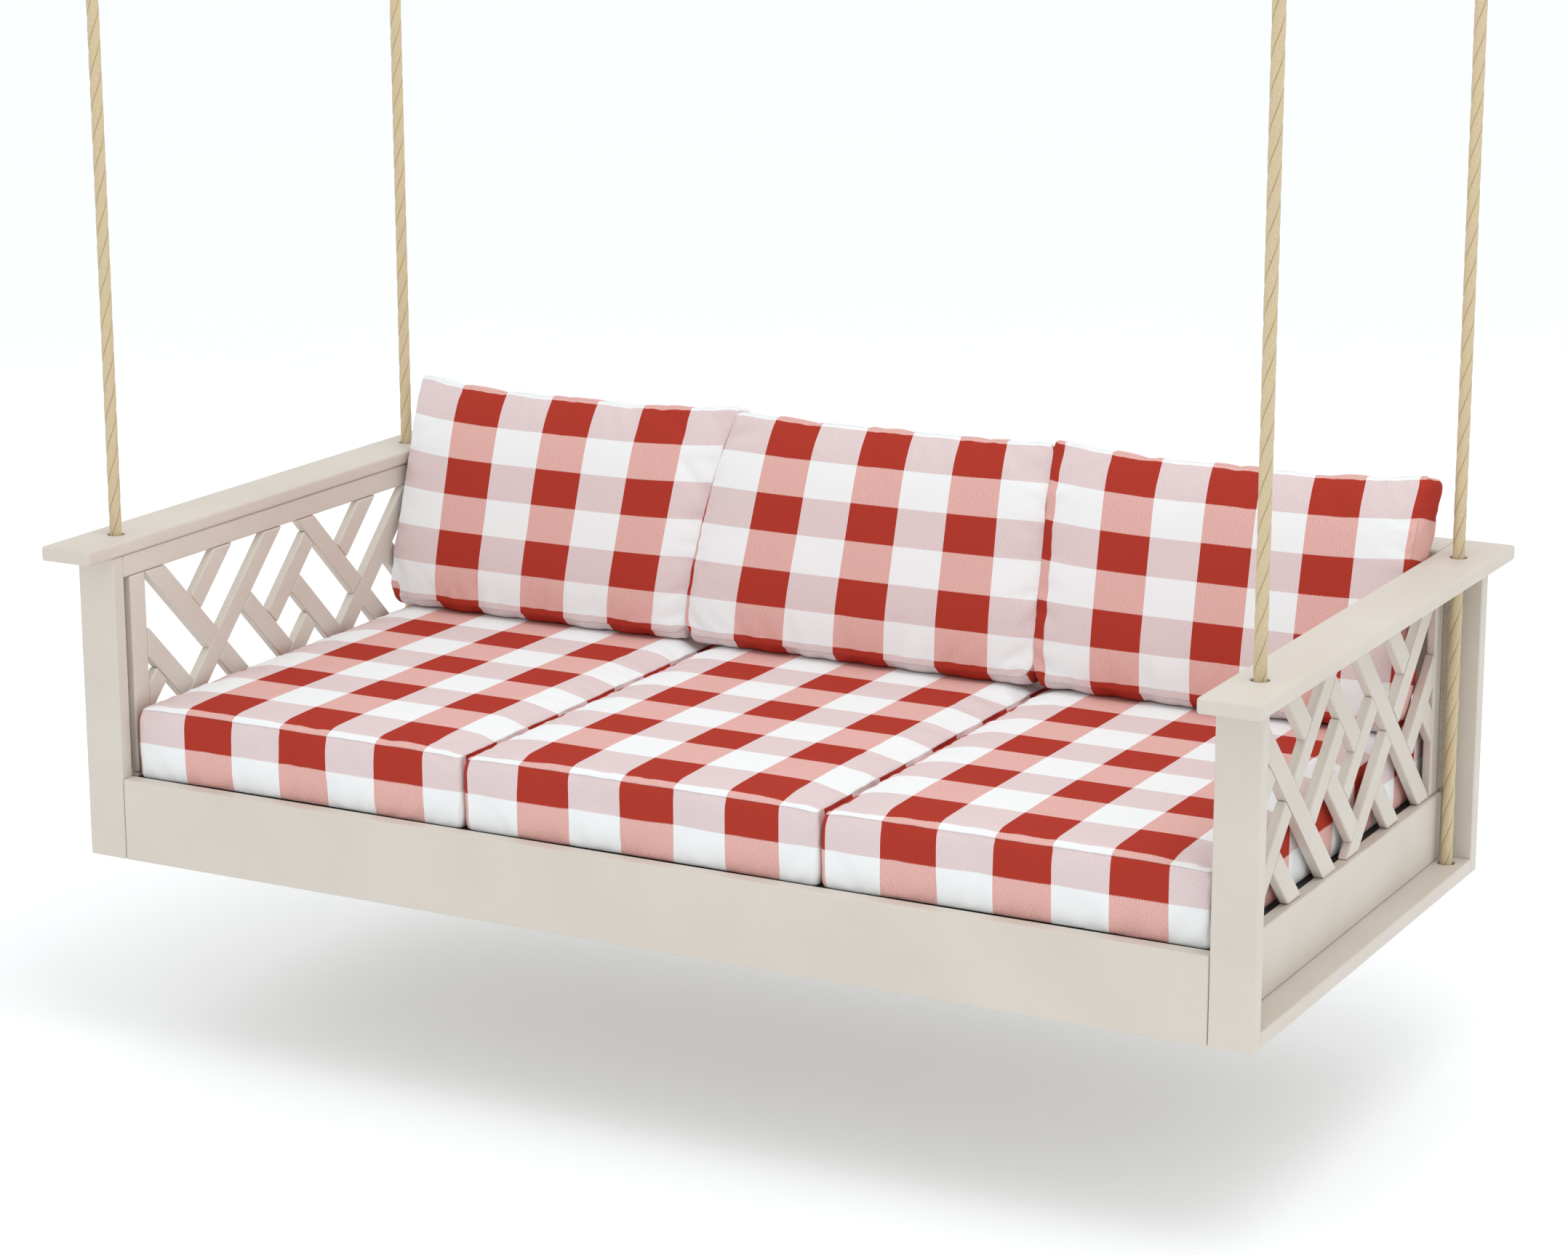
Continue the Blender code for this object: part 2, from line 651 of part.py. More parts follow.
def make_quick_link(name, x, y, steel, pivot):
    """An oval screw link that hangs in the ceiling eye, with its nut on one straight side."""
    half = LINK_LENGTH / 2 - LINK_RADIUS
    middle = (LINK_TOP + LINK_BOTTOM) / 2
    over = [(LINK_RADIUS * cos(a), half + LINK_RADIUS * sin(a)) for a in
            (pi * i / 9 for i in range(10))]
    path = [Vector((x, y + a, middle + b)) for a, b in over]
    path += [Vector((x, y - a, middle - b)) for a, b in over]
    bar = bmesh.new()
    add_sweep(bar, path, round_section(LINK_WIRE, 10), (1, 0, 0), True)
    nut = bmesh.new()
    add_cylinder(nut, (x, y + LINK_RADIUS, middle), LINK_NUT_RADIUS, LINK_NUT_LENGTH, 6)
    link = mesh_object(f"quick_link_{name}", bar, steel, pivot)
    join(link, mesh_object(f"link_nut_{name}", nut, None, pivot))


# ---------------------------------------------------------------- assembly

def main():
    for old in list(bpy.data.objects):
        bpy.data.objects.remove(old, do_unlink=True)

    lumber = material("sand_lumber", (0.66, 0.61, 0.54), 0.55)
    cloth = material("check_fabric", (0.62, 0.20, 0.17), 0.9)
    rope = material("tan_rope", (0.60, 0.48, 0.28), 0.95)
    steel = material("galvanised_steel", (0.62, 0.62, 0.61), 0.35, 1.0)
    black = material("black_mesh", (0.01, 0.01, 0.01), 0.8)

    base = empty("post_undersides", (0, 0, -CEILING_HEIGHT))
    ceiling = empty("ceiling", (0, 0, CEILING_HEIGHT), base)
    seat = empty("seat_pivot", (-ROPE_X, -ROPE_Y, HOLE_PIVOT), base)

    make_posts(lumber, seat)
    make_end_rails(lumber, seat)
    holes = make_rope_holes(seat)
    make_arms(lumber, seat, holes)
    make_back_cap(lumber, seat)
    make_bottom_plates(lumber, seat, holes)
    make_side_rails(lumber, seat)
    make_back_top_rail(lumber, seat)
    make_side_lattices(lumber, seat)
    make_back_lattice(lumber, seat)
    make_deck(lumber, black, seat)
    make_brackets(steel, seat)
    make_seat_cushions(cloth, seat)
    make_back_pillows(cloth, seat)
    make_lower_ropes(rope, steel, seat)

    for end, fy in ENDS.items():
        for side, fx in SIDES.items():
            name, x, y = f"{end}_{side}", fx * ROPE_X, fy * ROPE_Y
            eye_pivot = empty(f"eye_pivot_{name}", (x, y, EYE_WIRE_HEIGHT), base)
            link_pivot = empty(f"link_pivot_{name}", (x, y, LOOP_CENTRE), base)
            bend = name == "front_left"
            make_ceiling_plate(name, x, y, steel, ceiling)
            make_quick_link(name, x, y, steel, eye_pivot)
            make_thimble(name, x, y, steel, link_pivot)
            make_rope_eye(name, x, y, rope, link_pivot)
            low = HOLE_PIVOT + (ROPE_RADIUS + GAP if bend else 0)
            make_upper_rope(name, x, y, low, rope, link_pivot)

    bm = bmesh.new()
    bmesh.ops.create_icosphere(bm, subdivisions=2, radius=ROPE_RADIUS,
                               matrix=Matrix.Translation((-ROPE_X, -ROPE_Y, HOLE_PIVOT)))
    mesh_object("rope_bend_front_left", bm, rope, seat)


main()
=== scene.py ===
"""Looks of the hanging porch swing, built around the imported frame.

Lengths are metres. Places come from the CAD nodes' boxes, so every piece sits where its solid is.
+X is to the right seen from the front, -Y is the front, +Z is up, and the ceiling is at z = 0.
"""

import json
from itertools import product
from math import asin, atan2, cos, floor, hypot, pi, radians, sin, sqrt

import bmesh
import bpy
import numpy as np
from mathutils import Matrix, Vector, noise


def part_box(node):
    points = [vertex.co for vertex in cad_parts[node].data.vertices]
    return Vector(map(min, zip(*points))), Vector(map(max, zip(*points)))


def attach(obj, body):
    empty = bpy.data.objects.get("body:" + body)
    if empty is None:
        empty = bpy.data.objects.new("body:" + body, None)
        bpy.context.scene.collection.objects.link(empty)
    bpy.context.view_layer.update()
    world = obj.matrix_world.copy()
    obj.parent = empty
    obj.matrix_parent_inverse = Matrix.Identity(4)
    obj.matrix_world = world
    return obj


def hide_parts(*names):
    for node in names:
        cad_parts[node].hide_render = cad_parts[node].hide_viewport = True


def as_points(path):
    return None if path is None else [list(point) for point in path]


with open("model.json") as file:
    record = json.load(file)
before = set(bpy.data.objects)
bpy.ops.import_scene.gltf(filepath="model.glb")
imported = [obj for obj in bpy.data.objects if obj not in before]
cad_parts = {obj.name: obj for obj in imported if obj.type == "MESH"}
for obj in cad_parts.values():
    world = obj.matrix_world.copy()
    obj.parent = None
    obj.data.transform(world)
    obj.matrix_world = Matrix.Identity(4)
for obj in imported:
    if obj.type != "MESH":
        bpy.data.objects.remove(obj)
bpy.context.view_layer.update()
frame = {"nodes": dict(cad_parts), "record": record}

SIDES = {"left": -1, "right": 1}
ENDS = {"front": -1, "rear": 1}
SEATS = {"left": -1, "centre": 0, "right": 1}
CORNERS = {f"{end}_{side}": (fx, fy) for end, fy in ENDS.items() for side, fx in SIDES.items()}

# Heights and places, read from the frame
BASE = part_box("post_front_left")[0].z
ARM_LOW, ARM_TOP = (corner.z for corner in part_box("arm_left"))
HOLE_PIVOT = (ARM_LOW + ARM_TOP) / 2
PLATE_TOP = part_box("bottom_plate_left")[1].z
RAIL_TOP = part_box("front_rail")[1].z
TOP_RAIL_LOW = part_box("back_top_rail")[0].z
ROPE_X = sum(corner.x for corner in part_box("rope_lower_front_right")) / 2
ROPE_Y = -sum(corner.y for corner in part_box("rope_lower_front_right")) / 2
ROPE_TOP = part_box("rope_upper_front_right")[1].z

# Camera
CAMERA_AT = (2.9518, -5.4922, 0.2070)
CAMERA_AZIMUTH = radians(28.1638)
CAMERA_ELEVATION = radians(14.0971)
CAMERA_ROLL = radians(-0.1094)
CAMERA_LENS = 90.05

# Lumber
BOARD_EDGE = 0.003
CAP_EDGE = 0.0055
EDGE_STEPS = 3
HOLE_RADIUS = 0.0143
HOLE_FLARE = 0.0015
RAIL_JOINT = 0.0006
FLAT_ANGLE = 40

# Lattice
SLAT_WIDTH = 0.0381
SLAT_EDGE = 0.0034
STILE_WIDTH = 0.040
LATTICE_PITCH = 0.1454
LATTICE_FIRST = 0.0889
SEAM = 0.0004

# Rope
ROPE_RADIUS = 0.010
ROPE_PITCH = 0.153
STRAND_LOBE = 0.13
ROPE_SIDES = 48
ROPE_RING_STEP = 0.003
ROPE_GRAIN = 0.00035
ROPE_PHASE_STEP = 0.13
ROPE_END_INSET = 0.001
CORD_PATH_STEP = 8

# Loose fibres: two numbers are the least and what chance adds
FIBRES_PER_METRE = 420
FIBRE_LENGTH = (0.0025, 0.004)
FIBRE_LIFT = (0.25, 0.5)
FIBRE_SWING = 0.5
FIBRE_ROOT = 0.86 * ROPE_RADIUS
FIBRE_CLIMB = 1.2
FIBRE_THICK = 0.00011
FIBRE_TAPER = 1.15
FIBRE_RINGS = 4
FIBRE_CORNER = 2.1

# Hanging hardware
LOOP_DROP = 0.065
WHIPPING_LAP = 0.006
WHIPPING_TURNS = 21
SLEEVE_HEIGHT = 0.045
SLEEVE_WIDE = 0.0222
SLEEVE_DEEP = 0.0125
SLEEVE_NECK = 0.0115
SLEEVE_NECK_END, SLEEVE_WIDENING = 0.1, 0.3
BEAD_DEPTH = 0.0009
SLEEVE_END_TAPER = 0.0010
BEAD_LAY = 0.02
ROPE_GAP = 0.0001
THIMBLE_SHEET = 0.003
THIMBLE_FLANGE = 0.007
THIMBLE_THROAT = 0.0022
THIMBLE_GAP = 0.0003
LINK_WIRE = 0.005
LINK_NUT_LENGTH = 0.024
LINK_NUT_BEVEL = 0.0012
THREAD_TURNS = 5
THREAD_STEP = 0.00072
PLATE_THICK = 0.006
PLATE_SCREW_CIRCLE = 0.0275
EYE_WIRE = 0.005
EYE_REACH = 0.022
EYE_SINK = 0.002
STOP_FLANGE = 0.0015
STOP_RINGS = 3
STOP_GROOVE = 0.0009

# Screw heads: radius and height, then shares of them along the dome and for the cross recess
SMALL_SCREW = (0.0045, 0.0020)
PLATE_SCREW = (0.0058, 0.0026)
SCREW_DOME = ((1, 0), (1, 0.35), (0.9, 0.7), (0.6, 0.95), (0.25, 1))
CROSS_WIDTH, CROSS_REACH, CROSS_DEPTH = 0.16, 0.7, 0.45

# Brackets and deck
BRACKET_SHEET = 0.0025
BRACKET_FOOT_RISE = 0.0986
BRACKET_BEND = 0.0016
BRACKET_FOOT_INSET = 0.0063
BRACKET_EDGES = (0.0003, 0.0004)
BRACKET_SCREWS = (0.10, 0.5, 0.9)
BRACKET_POST_SCREW = 0.002
BRACKET_SIDE_SCREW = 0.0095
BRACKET_SIDE_CLOSER = 0.012
BRACKET_FOOT_SCREW = 0.012
DECK_SLAT_THICK = 0.0185
DECK_SLAT_COUNT = 19
DECK_SLAT_WIDTH = 0.089
DECK_BEAM = 0.038
DECK_LEDGER = 0.025
DECK_EDGE = 0.002
DECK_BEAM_EDGE = 0.003
DECK_GAP, DECK_END_GAP, DECK_LAP = 0.0003, 0.0006, 0.0005
LEDGER_SCREWS = 7
LEDGER_SCREW_SPREAD = 3.3

# Shades, in the 0 to 255 steps of a screen; pairs are mixed by noise
SAND = ((212, 204, 193), (216, 209, 199))
SAND_FLECK = (190, 180, 166)
LAVENDER = ((239, 225, 225), (201, 176, 177))
SALMON = ((241, 206, 199), (206, 136, 128))
RED = ((178, 61, 49), (169, 54, 42))
WHITE = ((243, 246, 247), (238, 241, 242))
# Painted shade: the dark that the cloth is drawn towards beside its seams, standing in for the shade in
# their creases
SEAM_CREASE_SHADE = (96, 72, 72)
ROPE_FIBRE = ((200, 180, 144), (230, 215, 182))
# The second and third are painted shade: darker tones for the crevices between the yarns and the grooves
# between the strands
ROPE_CLOUD, ROPE_YARN_SHADE, ROPE_GROOVE_SHADE = (220, 200, 154), (170, 145, 98), (138, 110, 66)
STEEL, ZINC = (186, 188, 190), (186, 176, 160)
SPANGLE_DARKER, SPANGLE_LIGHTER = 16, 10
BLACK = ((8, 8, 8), (34, 34, 36))
FLOOR_WHITE = ((249, 252, 255), (250, 253, 255))

# Noise scales, in features per metre; a fabric's or rope's run along and across its yarn
LUMBER_CLOUD, LUMBER_FLECK, LUMBER_PEEL, LUMBER_WAVE = 6.0, 420.0, 300.0, 55.0
TWILL_SCALE, WORM_SCALE, FLECK_SCALE = (420.0, 1300.0, 1.0), (420.0, 1100.0, 1.0), (500.0, 1050.0, 1.0)
TWILL_TURN, WORM_TURN = radians(32), radians(33)
ROPE_FIBRE_SCALE, ROPE_FIBRE_TURN = (14.0, 260.0, 1.0), radians(-12)
YARNS_PER_METRE, YARN_SLANT = 120.0, 9.0
ROPE_CLOUD_SCALE = 25.0
SPANGLE_SCALE, SMEAR_SCALE = 260.0, 90.0
FLOOR_HAZE = 1.5

# Fabric
TEETH_PER_METRE = 215.0
TOOTH_DEPTH = 0.021
THREADS = 1800.0

# Both kinds of cushion
SEAM_ROWS = (0.003, 0.008)
SEAM_DEPTH = 0.0007
SETTLE_FRAMES = 20
CLOTH = {"quality": 5, "mass": 0.3, "use_pressure": True, "tension_stiffness": 30,
         "compression_stiffness": 30, "shear_stiffness": 10, "bending_stiffness": 0.4,
         "shrink_min": -0.025, "vertex_group_mass": "seams"}

# Seat cushions: the check, the seams and crown (side or front, then middle), how the boxing draws
# in beside its seams, and how the top rolls up from them (reach and power)
SEAT_STEP = 0.012
SEAT_CELL = (0.0935, 0.0958)
SEAT_FIRST_RED = {"left": 0.099, "centre": 0.103, "right": 0.103}
SEAT_FIRST_ROW = 0.0155
SEAT_ROW_EDGE = 0.0635
SEAT_CORNER = 0.011
SEAT_SIDE_SEAM = 0.1168
SEAT_FRONT_SEAM = 0.1186
SEAT_CROWN = (0.1290, 0.1346)
SEAT_CROWN_REACH = 0.45
SEAT_TUCK = 0.003
SEAT_TUCK_BELOW, SEAT_TUCK_ABOVE = 0.13, 0.15
SEAT_WANDER = 0.0008
SEAT_WANDER_SIZE = 0.11
SEAT_DRAW_REACH = 0.1
SEAT_SIDE_ROLL = (0.090, 0.8)
SEAT_FRONT_ROLL = (0.032, 0.62)
SEAT_LIFT = 0.0016
SEAT_LIFT_REACH = 0.08
SEAT_DIMPLE = 0.0010
SEAT_DIMPLE_SIZE = 0.16
SEAT_FOOT, SEAT_FOOT_EDGE, SEAT_BOXING_FOOT = 0.0006, 0.0012, 0.0018
SEAT_FOOT_REACH = 0.012
SEAT_PRESSURE = 1.5
SEAT_MOST_PUFF = 0.0028

# Back pillows: places of the side edges at the foot and the top, the upper corners' rise and the
# top's sag, and the first red column at the foot and the top
PILLOW_STEP = 0.009
PILLOW_HEIGHT = 0.416
PILLOW_FOOT_Y = 0.322
PILLOW_LEAN = radians(16.2)
PILLOW_EDGE = 0.0425
PILLOW_MIDDLE = 0.0605
PILLOW_LEFT_EDGES = {"left": (-0.9655, -0.956), "centre": (-0.3475, -0.2975), "right": (0.3250, 0.3090)}
PILLOW_RIGHT_EDGES = {"left": (-0.3465, -0.2965), "centre": (0.3250, 0.3080), "right": (0.9625, 0.9625)}
PILLOW_TOPS = {"left": (0.013, 0.019), "centre": (0.003, 0.0075), "right": (0.012, 0.019)}
PILLOW_CORNERS = (0.034, 0.015)
PILLOW_ROW = 0.0652
PILLOW_TOP_STRIP = 0.007
PILLOW_FIRST_RED = {"left": (-0.857, -0.848), "centre": (-0.228, -0.222), "right": (0.435, 0.423)}
PILLOW_CELLS = {"left": 0.0917, "centre": 0.0925, "right": 0.0888}
PILLOW_SPREAD = 0.14
PILLOW_FOOT_SHIFT = 0.004
PILLOW_FOOT_REACH = 0.10
PILLOW_PRESSURE = 3.5
PILLOW_MOST_PUFF = 0.007

# How a pillow's outline draws in (less where it touches its neighbour) and wanders
PILLOW_TOUCH_PULL = -0.0010
PILLOW_SIDE_PULL = (0.0025, 0.0035)
PILLOW_JOIN_CURVE = 0.012
PILLOW_END_PULL = 0.0025
PILLOW_FOOT_RISE = 0.015
PILLOW_SIDE_WANDER, PILLOW_END_WANDER = 0.0022, 0.0024
PILLOW_WANDER_SIZE, PILLOW_WANDER_SMALL = 0.045, 0.016
PILLOW_FLARE = 0.006
PILLOW_FLARE_START, PILLOW_FLARE_LENGTH = 0.74, 0.26
PILLOW_FLARE_REACH = 0.1
PILLOW_DRAW_REACH = 0.08

# How thick a pillow is: thinner at its corners and where its neighbour lies over it
PILLOW_CORNER_THIN = 0.010
PILLOW_CORNER_REACH = 0.09
PILLOW_TUCKED_THIN = 0.016
PILLOW_TUCKED_REACH = 0.06
PILLOW_SIDE_ROLL = (0.15, 0.75)
PILLOW_END_ROLL = (0.13, 0.75)
PILLOW_FOLD = 0.0018
PILLOW_FOLD_REACH = 0.11
PILLOW_FOLD_SIZE = 0.030
PILLOW_FOLD_START = 0.02
PILLOW_DIMPLE, PILLOW_DIMPLE_SIZE = 0.0012, 0.09
PILLOW_PUFF_SPREAD, PILLOW_PUFF_SIZE = 0.35, 0.05
PILLOW_TOUCH_PUFF, PILLOW_SIDE_PUFF, PILLOW_FOOT_PUFF = 0.0015, 0.0058, 0.016

# Floor
FLOOR_DROP = 0.33
FLOOR_REACH = 30.0

# Light
SKY_STRENGTH = 0.88
KEY_LIGHT_AT = (1.8, -1.2, 3.4)
KEY_LIGHT_TARGET = (0, 0, -1.4)
KEY_LIGHT_SIZE = 3.0
KEY_LIGHT_POWER = 70


# ---------------------------------------------------------------- scene helpers

def mesh_piece(name, mesh, look, body, replaced=()):
    """Puts a finished mesh in the scene as a piece that rides on a body."""
    mesh.materials.append(look)
    piece = bpy.data.objects.new(name, mesh)
    bpy.context.scene.collection.objects.link(piece)
    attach(piece, body)
    if replaced:
        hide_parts(*replaced)
    return piece


def keep_flat(piece, sharp=FLAT_ANGLE):
    """Smooth shading that leaves flat faces flat; edges over the sharp angle stay sharp."""
    piece.data.shade_smooth()
    piece.data.set_sharp_from_angle(angle=radians(sharp))
    even = piece.modifiers.new("flat faces", "WEIGHTED_NORMAL")
    even.keep_sharp = True


def closed_mesh(name, bm):
    """A closed bmesh as a mesh with its faces turned outward."""
    bmesh.ops.recalc_face_normals(bm, faces=bm.faces)
    mesh = bpy.data.meshes.new(name)
    bm.to_mesh(mesh)
    bm.free()
    return mesh


def bm_piece(name, bm, look, body, replaced=(), sharp=FLAT_ANGLE):
    """A bmesh as a piece with smooth shading and flat faces."""
    piece = mesh_piece(name, closed_mesh(name, bm), look, body, replaced)
    keep_flat(piece, sharp)
    return piece


def add_part(bm, part):
    """Adds a finished part to a piece's bmesh."""
    mesh = bpy.data.meshes.new("part")
    part.to_mesh(mesh)
    part.free()
    bm.from_mesh(mesh)
    bpy.data.meshes.remove(mesh)


def ring_faces(rings, sides, start=0):
    """Quads between rings of points that are stored one after the other."""
    faces = []
    for first in range(start, start + (rings - 1) * sides, sides):
        for j in range(sides):
            k = (j + 1) % sides
            faces.append((first + j, first + k, first + sides + k, first + sides + j))
    return faces


def tube_faces(rings, sides):
    """The faces of a tube that is closed at both ends."""
    last = (rings - 1) * sides
    return ring_faces(rings, sides) + [tuple(reversed(range(sides))),
                                       tuple(last + j for j in range(sides))]


def add_rounded_prism(bm, outline, push, edge, steps=EDGE_STEPS):
    """A closed prism over a flat outline, with all its edges rounded."""
    part = bmesh.new()
    near = [part.verts.new(p) for p in outline]
    far = [part.verts.new(Vector(p) + Vector(push)) for p in outline]
    part.faces.new(near)
    part.faces.new(far)
    for i in range(len(outline)):
        j = (i + 1) % len(outline)
        part.faces.new((near[i], near[j], far[j], far[i]))
    bmesh.ops.recalc_face_normals(part, faces=part.faces)
    bmesh.ops.bevel(part, geom=part.edges[:], offset=edge, segments=steps, profile=0.5,
                    affect="EDGES", clamp_overlap=True)
    add_part(bm, part)


def add_rounded_box(bm, low, high, edge, steps=EDGE_STEPS):
    """A box between two corners, with all its edges rounded."""
    outline = [(low[0], low[1], low[2]), (high[0], low[1], low[2]),
               (high[0], high[1], low[2]), (low[0], high[1], low[2])]
    add_rounded_prism(bm, outline, (0, 0, high[2] - low[2]), edge, steps)


def add_turned(bm, centre, rings, sides=40):
    """A closed upright solid turned from (radius, height) points."""
    made = []
    for radius, height in rings:
        made.append([bm.verts.new((centre[0] + radius * cos(2 * pi * i / sides),
                                   centre[1] + radius * sin(2 * pi * i / sides),
                                   centre[2] + height)) for i in range(sides)])
    bm.faces.new(made[0])
    bm.faces.new(made[-1])
    for near, far in zip(made, made[1:]):
        for i in range(sides):
            j = (i + 1) % sides
            bm.faces.new((near[i], near[j], far[j], far[i]))


def add_sweep(bm, path, section, flat_axis, closed):
    """Sweeps (outward, sideways) section points along a path in the plane across flat_axis."""
    flat = Vector(flat_axis)
    rings = []
    for i, point in enumerate(path):
        before = path[i - 1] if closed or i else point
        after = path[(i + 1) % len(path)] if closed or i + 1 < len(path) else point
        outward = (after - before).normalized().cross(flat)
        rings.append([bm.verts.new(point + outward * a + flat * b) for a, b in section])
    for i in range(len(rings) if closed else len(rings) - 1):
        near, far = rings[i], rings[(i + 1) % len(rings)]
        for j in range(len(section)):
            k = (j + 1) % len(section)
            bm.faces.new((near[j], near[k], far[k], far[j]))
    if not closed:
        bm.faces.new(rings[0])
        bm.faces.new(rings[-1])


def round_section(radius, sides=24):
    """A wire's section for a sweep."""
    return [(radius * cos(2 * pi * i / sides), radius * sin(2 * pi * i / sides))
            for i in range(sides)]


# ---------------------------------------------------------------- material helpers

def linear(red, green, blue):
    """A colour given in the 0 to 255 steps of a screen, as the linear values that a shader takes."""
    return tuple((c / 255 / 12.92) if c <= 10 else ((c / 255 + 0.055) / 1.055) ** 2.4
                 for c in (red, green, blue)) + (1.0,)


class Look:
    """A material with short calls for adding and linking nodes."""

    def __init__(self, name, roughness, metallic=0.0, **constants):
        self.made = bpy.data.materials.new(name)
        self.made.use_nodes = True
        self.tree = self.made.node_tree
        self.shader = self.tree.nodes["Principled BSDF"]
        self.shader.inputs["Roughness"].default_value = roughness
        self.shader.inputs["Metallic"].default_value = metallic
        for socket, value in constants.items():
            self.shader.inputs[socket.replace("_", " ")].default_value = value

    def node(self, kind, output=0, inputs=(), **settings):
        """Adds a node; inputs are (socket, value or another node's output). Returns an output."""
        made = self.tree.nodes.new(kind)
        for key, value in settings.items():
            setattr(made, key, value)
        for socket, value in inputs:
            if isinstance(value, bpy.types.NodeSocket):
                self.tree.links.new(value, made.inputs[socket])
            else:
                made.inputs[socket].default_value = value
        return made.outputs[output]

    def math(self, operation, *values):
        return self.node("ShaderNodeMath", 0, enumerate(values), operation=operation)

    def mix(self, factor, first, second):
        return self.node("ShaderNodeMix", 2, ((0, factor), (6, first), (7, second)),
                         data_type="RGBA")

    def shades(self, factor, pair):
        """A pair of screen shades mixed by a factor."""
        return self.mix(factor, linear(*pair[0]), linear(*pair[1]))

    def tint(self, base, factor, strength, shade):
        """A colour drawn towards a screen shade by strength times a factor."""
        return self.mix(self.math("MULTIPLY", factor, strength), base, linear(*shade))

    def place(self):
        return self.node("ShaderNodeTexCoord", "Object")

    def parts(self, vector):
        """The X, Y and Z of a vector, as a node's outputs."""
        return self.node("ShaderNodeSeparateXYZ", 0, ((0, vector),)).node.outputs

    def stretched(self, vector, scale, turn=0.0):
        return self.node("ShaderNodeMapping", 0,
                         (("Vector", vector), ("Scale", scale), ("Rotation", (0, 0, turn))))

    def noise(self, vector, scale, detail=2.0, roughness=0.5):
        return self.node("ShaderNodeTexNoise", 0, (("Vector", vector), ("Scale", scale),
                                                   ("Detail", detail), ("Roughness", roughness)))

    def ramp(self, value, low, high):
        """Value from 0 at low to 1 at high, clamped."""
        return self.node("ShaderNodeMapRange", 0, (("Value", value), ("From Min", low),
                                                   ("From Max", high)))

    def colour(self, value):
        self.tree.links.new(value, self.shader.inputs["Base Color"])

    def rough(self, value):
        self.tree.links.new(value, self.shader.inputs["Roughness"])

    def bump(self, height, distance, strength=1.0, before=None):
        inputs = [("Height", height), ("Distance", distance), ("Strength", strength)]
        if before is not None:
            inputs.append(("Normal", before))
        made = self.node("ShaderNodeBump", 0, inputs)
        self.tree.links.new(made, self.shader.inputs["Normal"])
        return made


# ---------------------------------------------------------------- materials

def lumber_look():
    """Moulded sand-coloured lumber: satin, with a fine orange-peel skin."""
    look = Look("sand_lumber", 0.48, Specular_IOR_Level=0.35)
    place = look.place()
    cloud = look.noise(place, LUMBER_CLOUD, 3.0)
    fleck = look.noise(place, LUMBER_FLECK, 2.0, 0.6)
    tone = look.shades(look.ramp(cloud, 0.35, 0.65), SAND)
    look.colour(look.tint(tone, look.ramp(fleck, 0.45, 0.75), 0.10, SAND_FLECK))
    look.rough(look.math("MULTIPLY_ADD", fleck, 0.16, 0.42))
    peel = look.noise(place, LUMBER_PEEL, 1.0, 0.4)
    wave = look.noise(place, LUMBER_WAVE, 1.0)
    look.bump(look.math("MULTIPLY_ADD", wave, 2.0, peel), 0.00016, 0.55)
    return look.made


def check_look():
    """Woven buffalo check, drawn darker along its seams by a painted shade for their creases. The map
    'check' counts columns and rows, and 'weave' is in metres.
    """
    look = Look("check_fabric", 0.9, Specular_IOR_Level=0.06)
    cells = look.node("ShaderNodeUVMap", uv_map="check")
    cloth = look.node("ShaderNodeUVMap", uv_map="weave")
    cell = look.parts(cells)
    metre = look.parts(cloth)
    tooth = look.math("FRACT", look.math("MULTIPLY", metre[0], TEETH_PER_METRE))
    jagged = look.math("MULTIPLY_ADD", tooth, TOOTH_DEPTH, cell[1])
    column = look.math("FLOORED_MODULO", look.math("FLOOR", cell[0]), 2.0)
    row = look.math("FLOORED_MODULO", look.math("FLOOR", jagged), 2.0)

    twill = look.noise(look.stretched(cloth, TWILL_SCALE, TWILL_TURN), 1.0, 2.0, 0.6)
    worm = look.noise(look.stretched(cloth, WORM_SCALE, WORM_TURN), 1.0, 3.0, 0.8)
    fleck = look.noise(look.stretched(cloth, FLECK_SCALE, WORM_TURN), 1.0, 3.0, 0.85)
    lavender = look.shades(look.ramp(fleck, 0.38, 0.66), LAVENDER)
    salmon = look.shades(look.ramp(worm, 0.36, 0.66), SALMON)
    red = look.shades(look.ramp(twill, 0.35, 0.7), RED)
    white = look.shades(look.ramp(twill, 0.35, 0.7), WHITE)
    light_rows = look.mix(column, white, salmon)
    dark_rows = look.mix(column, lavender, red)
    cloth_colour = look.mix(row, light_rows, dark_rows)
    # Painted shade: the cloth darkens within about a millimetre of each seam, for the shade in the seam's
    # crease
    gap = look.node("ShaderNodeAttribute", "Fac", attribute_name="seam_gap")
    look.colour(look.tint(cloth_colour, look.ramp(gap, 0.0013, 0.0), 0.3, SEAM_CREASE_SHADE))
    look.bump(twill, 0.00018, 0.6)
    return look.made


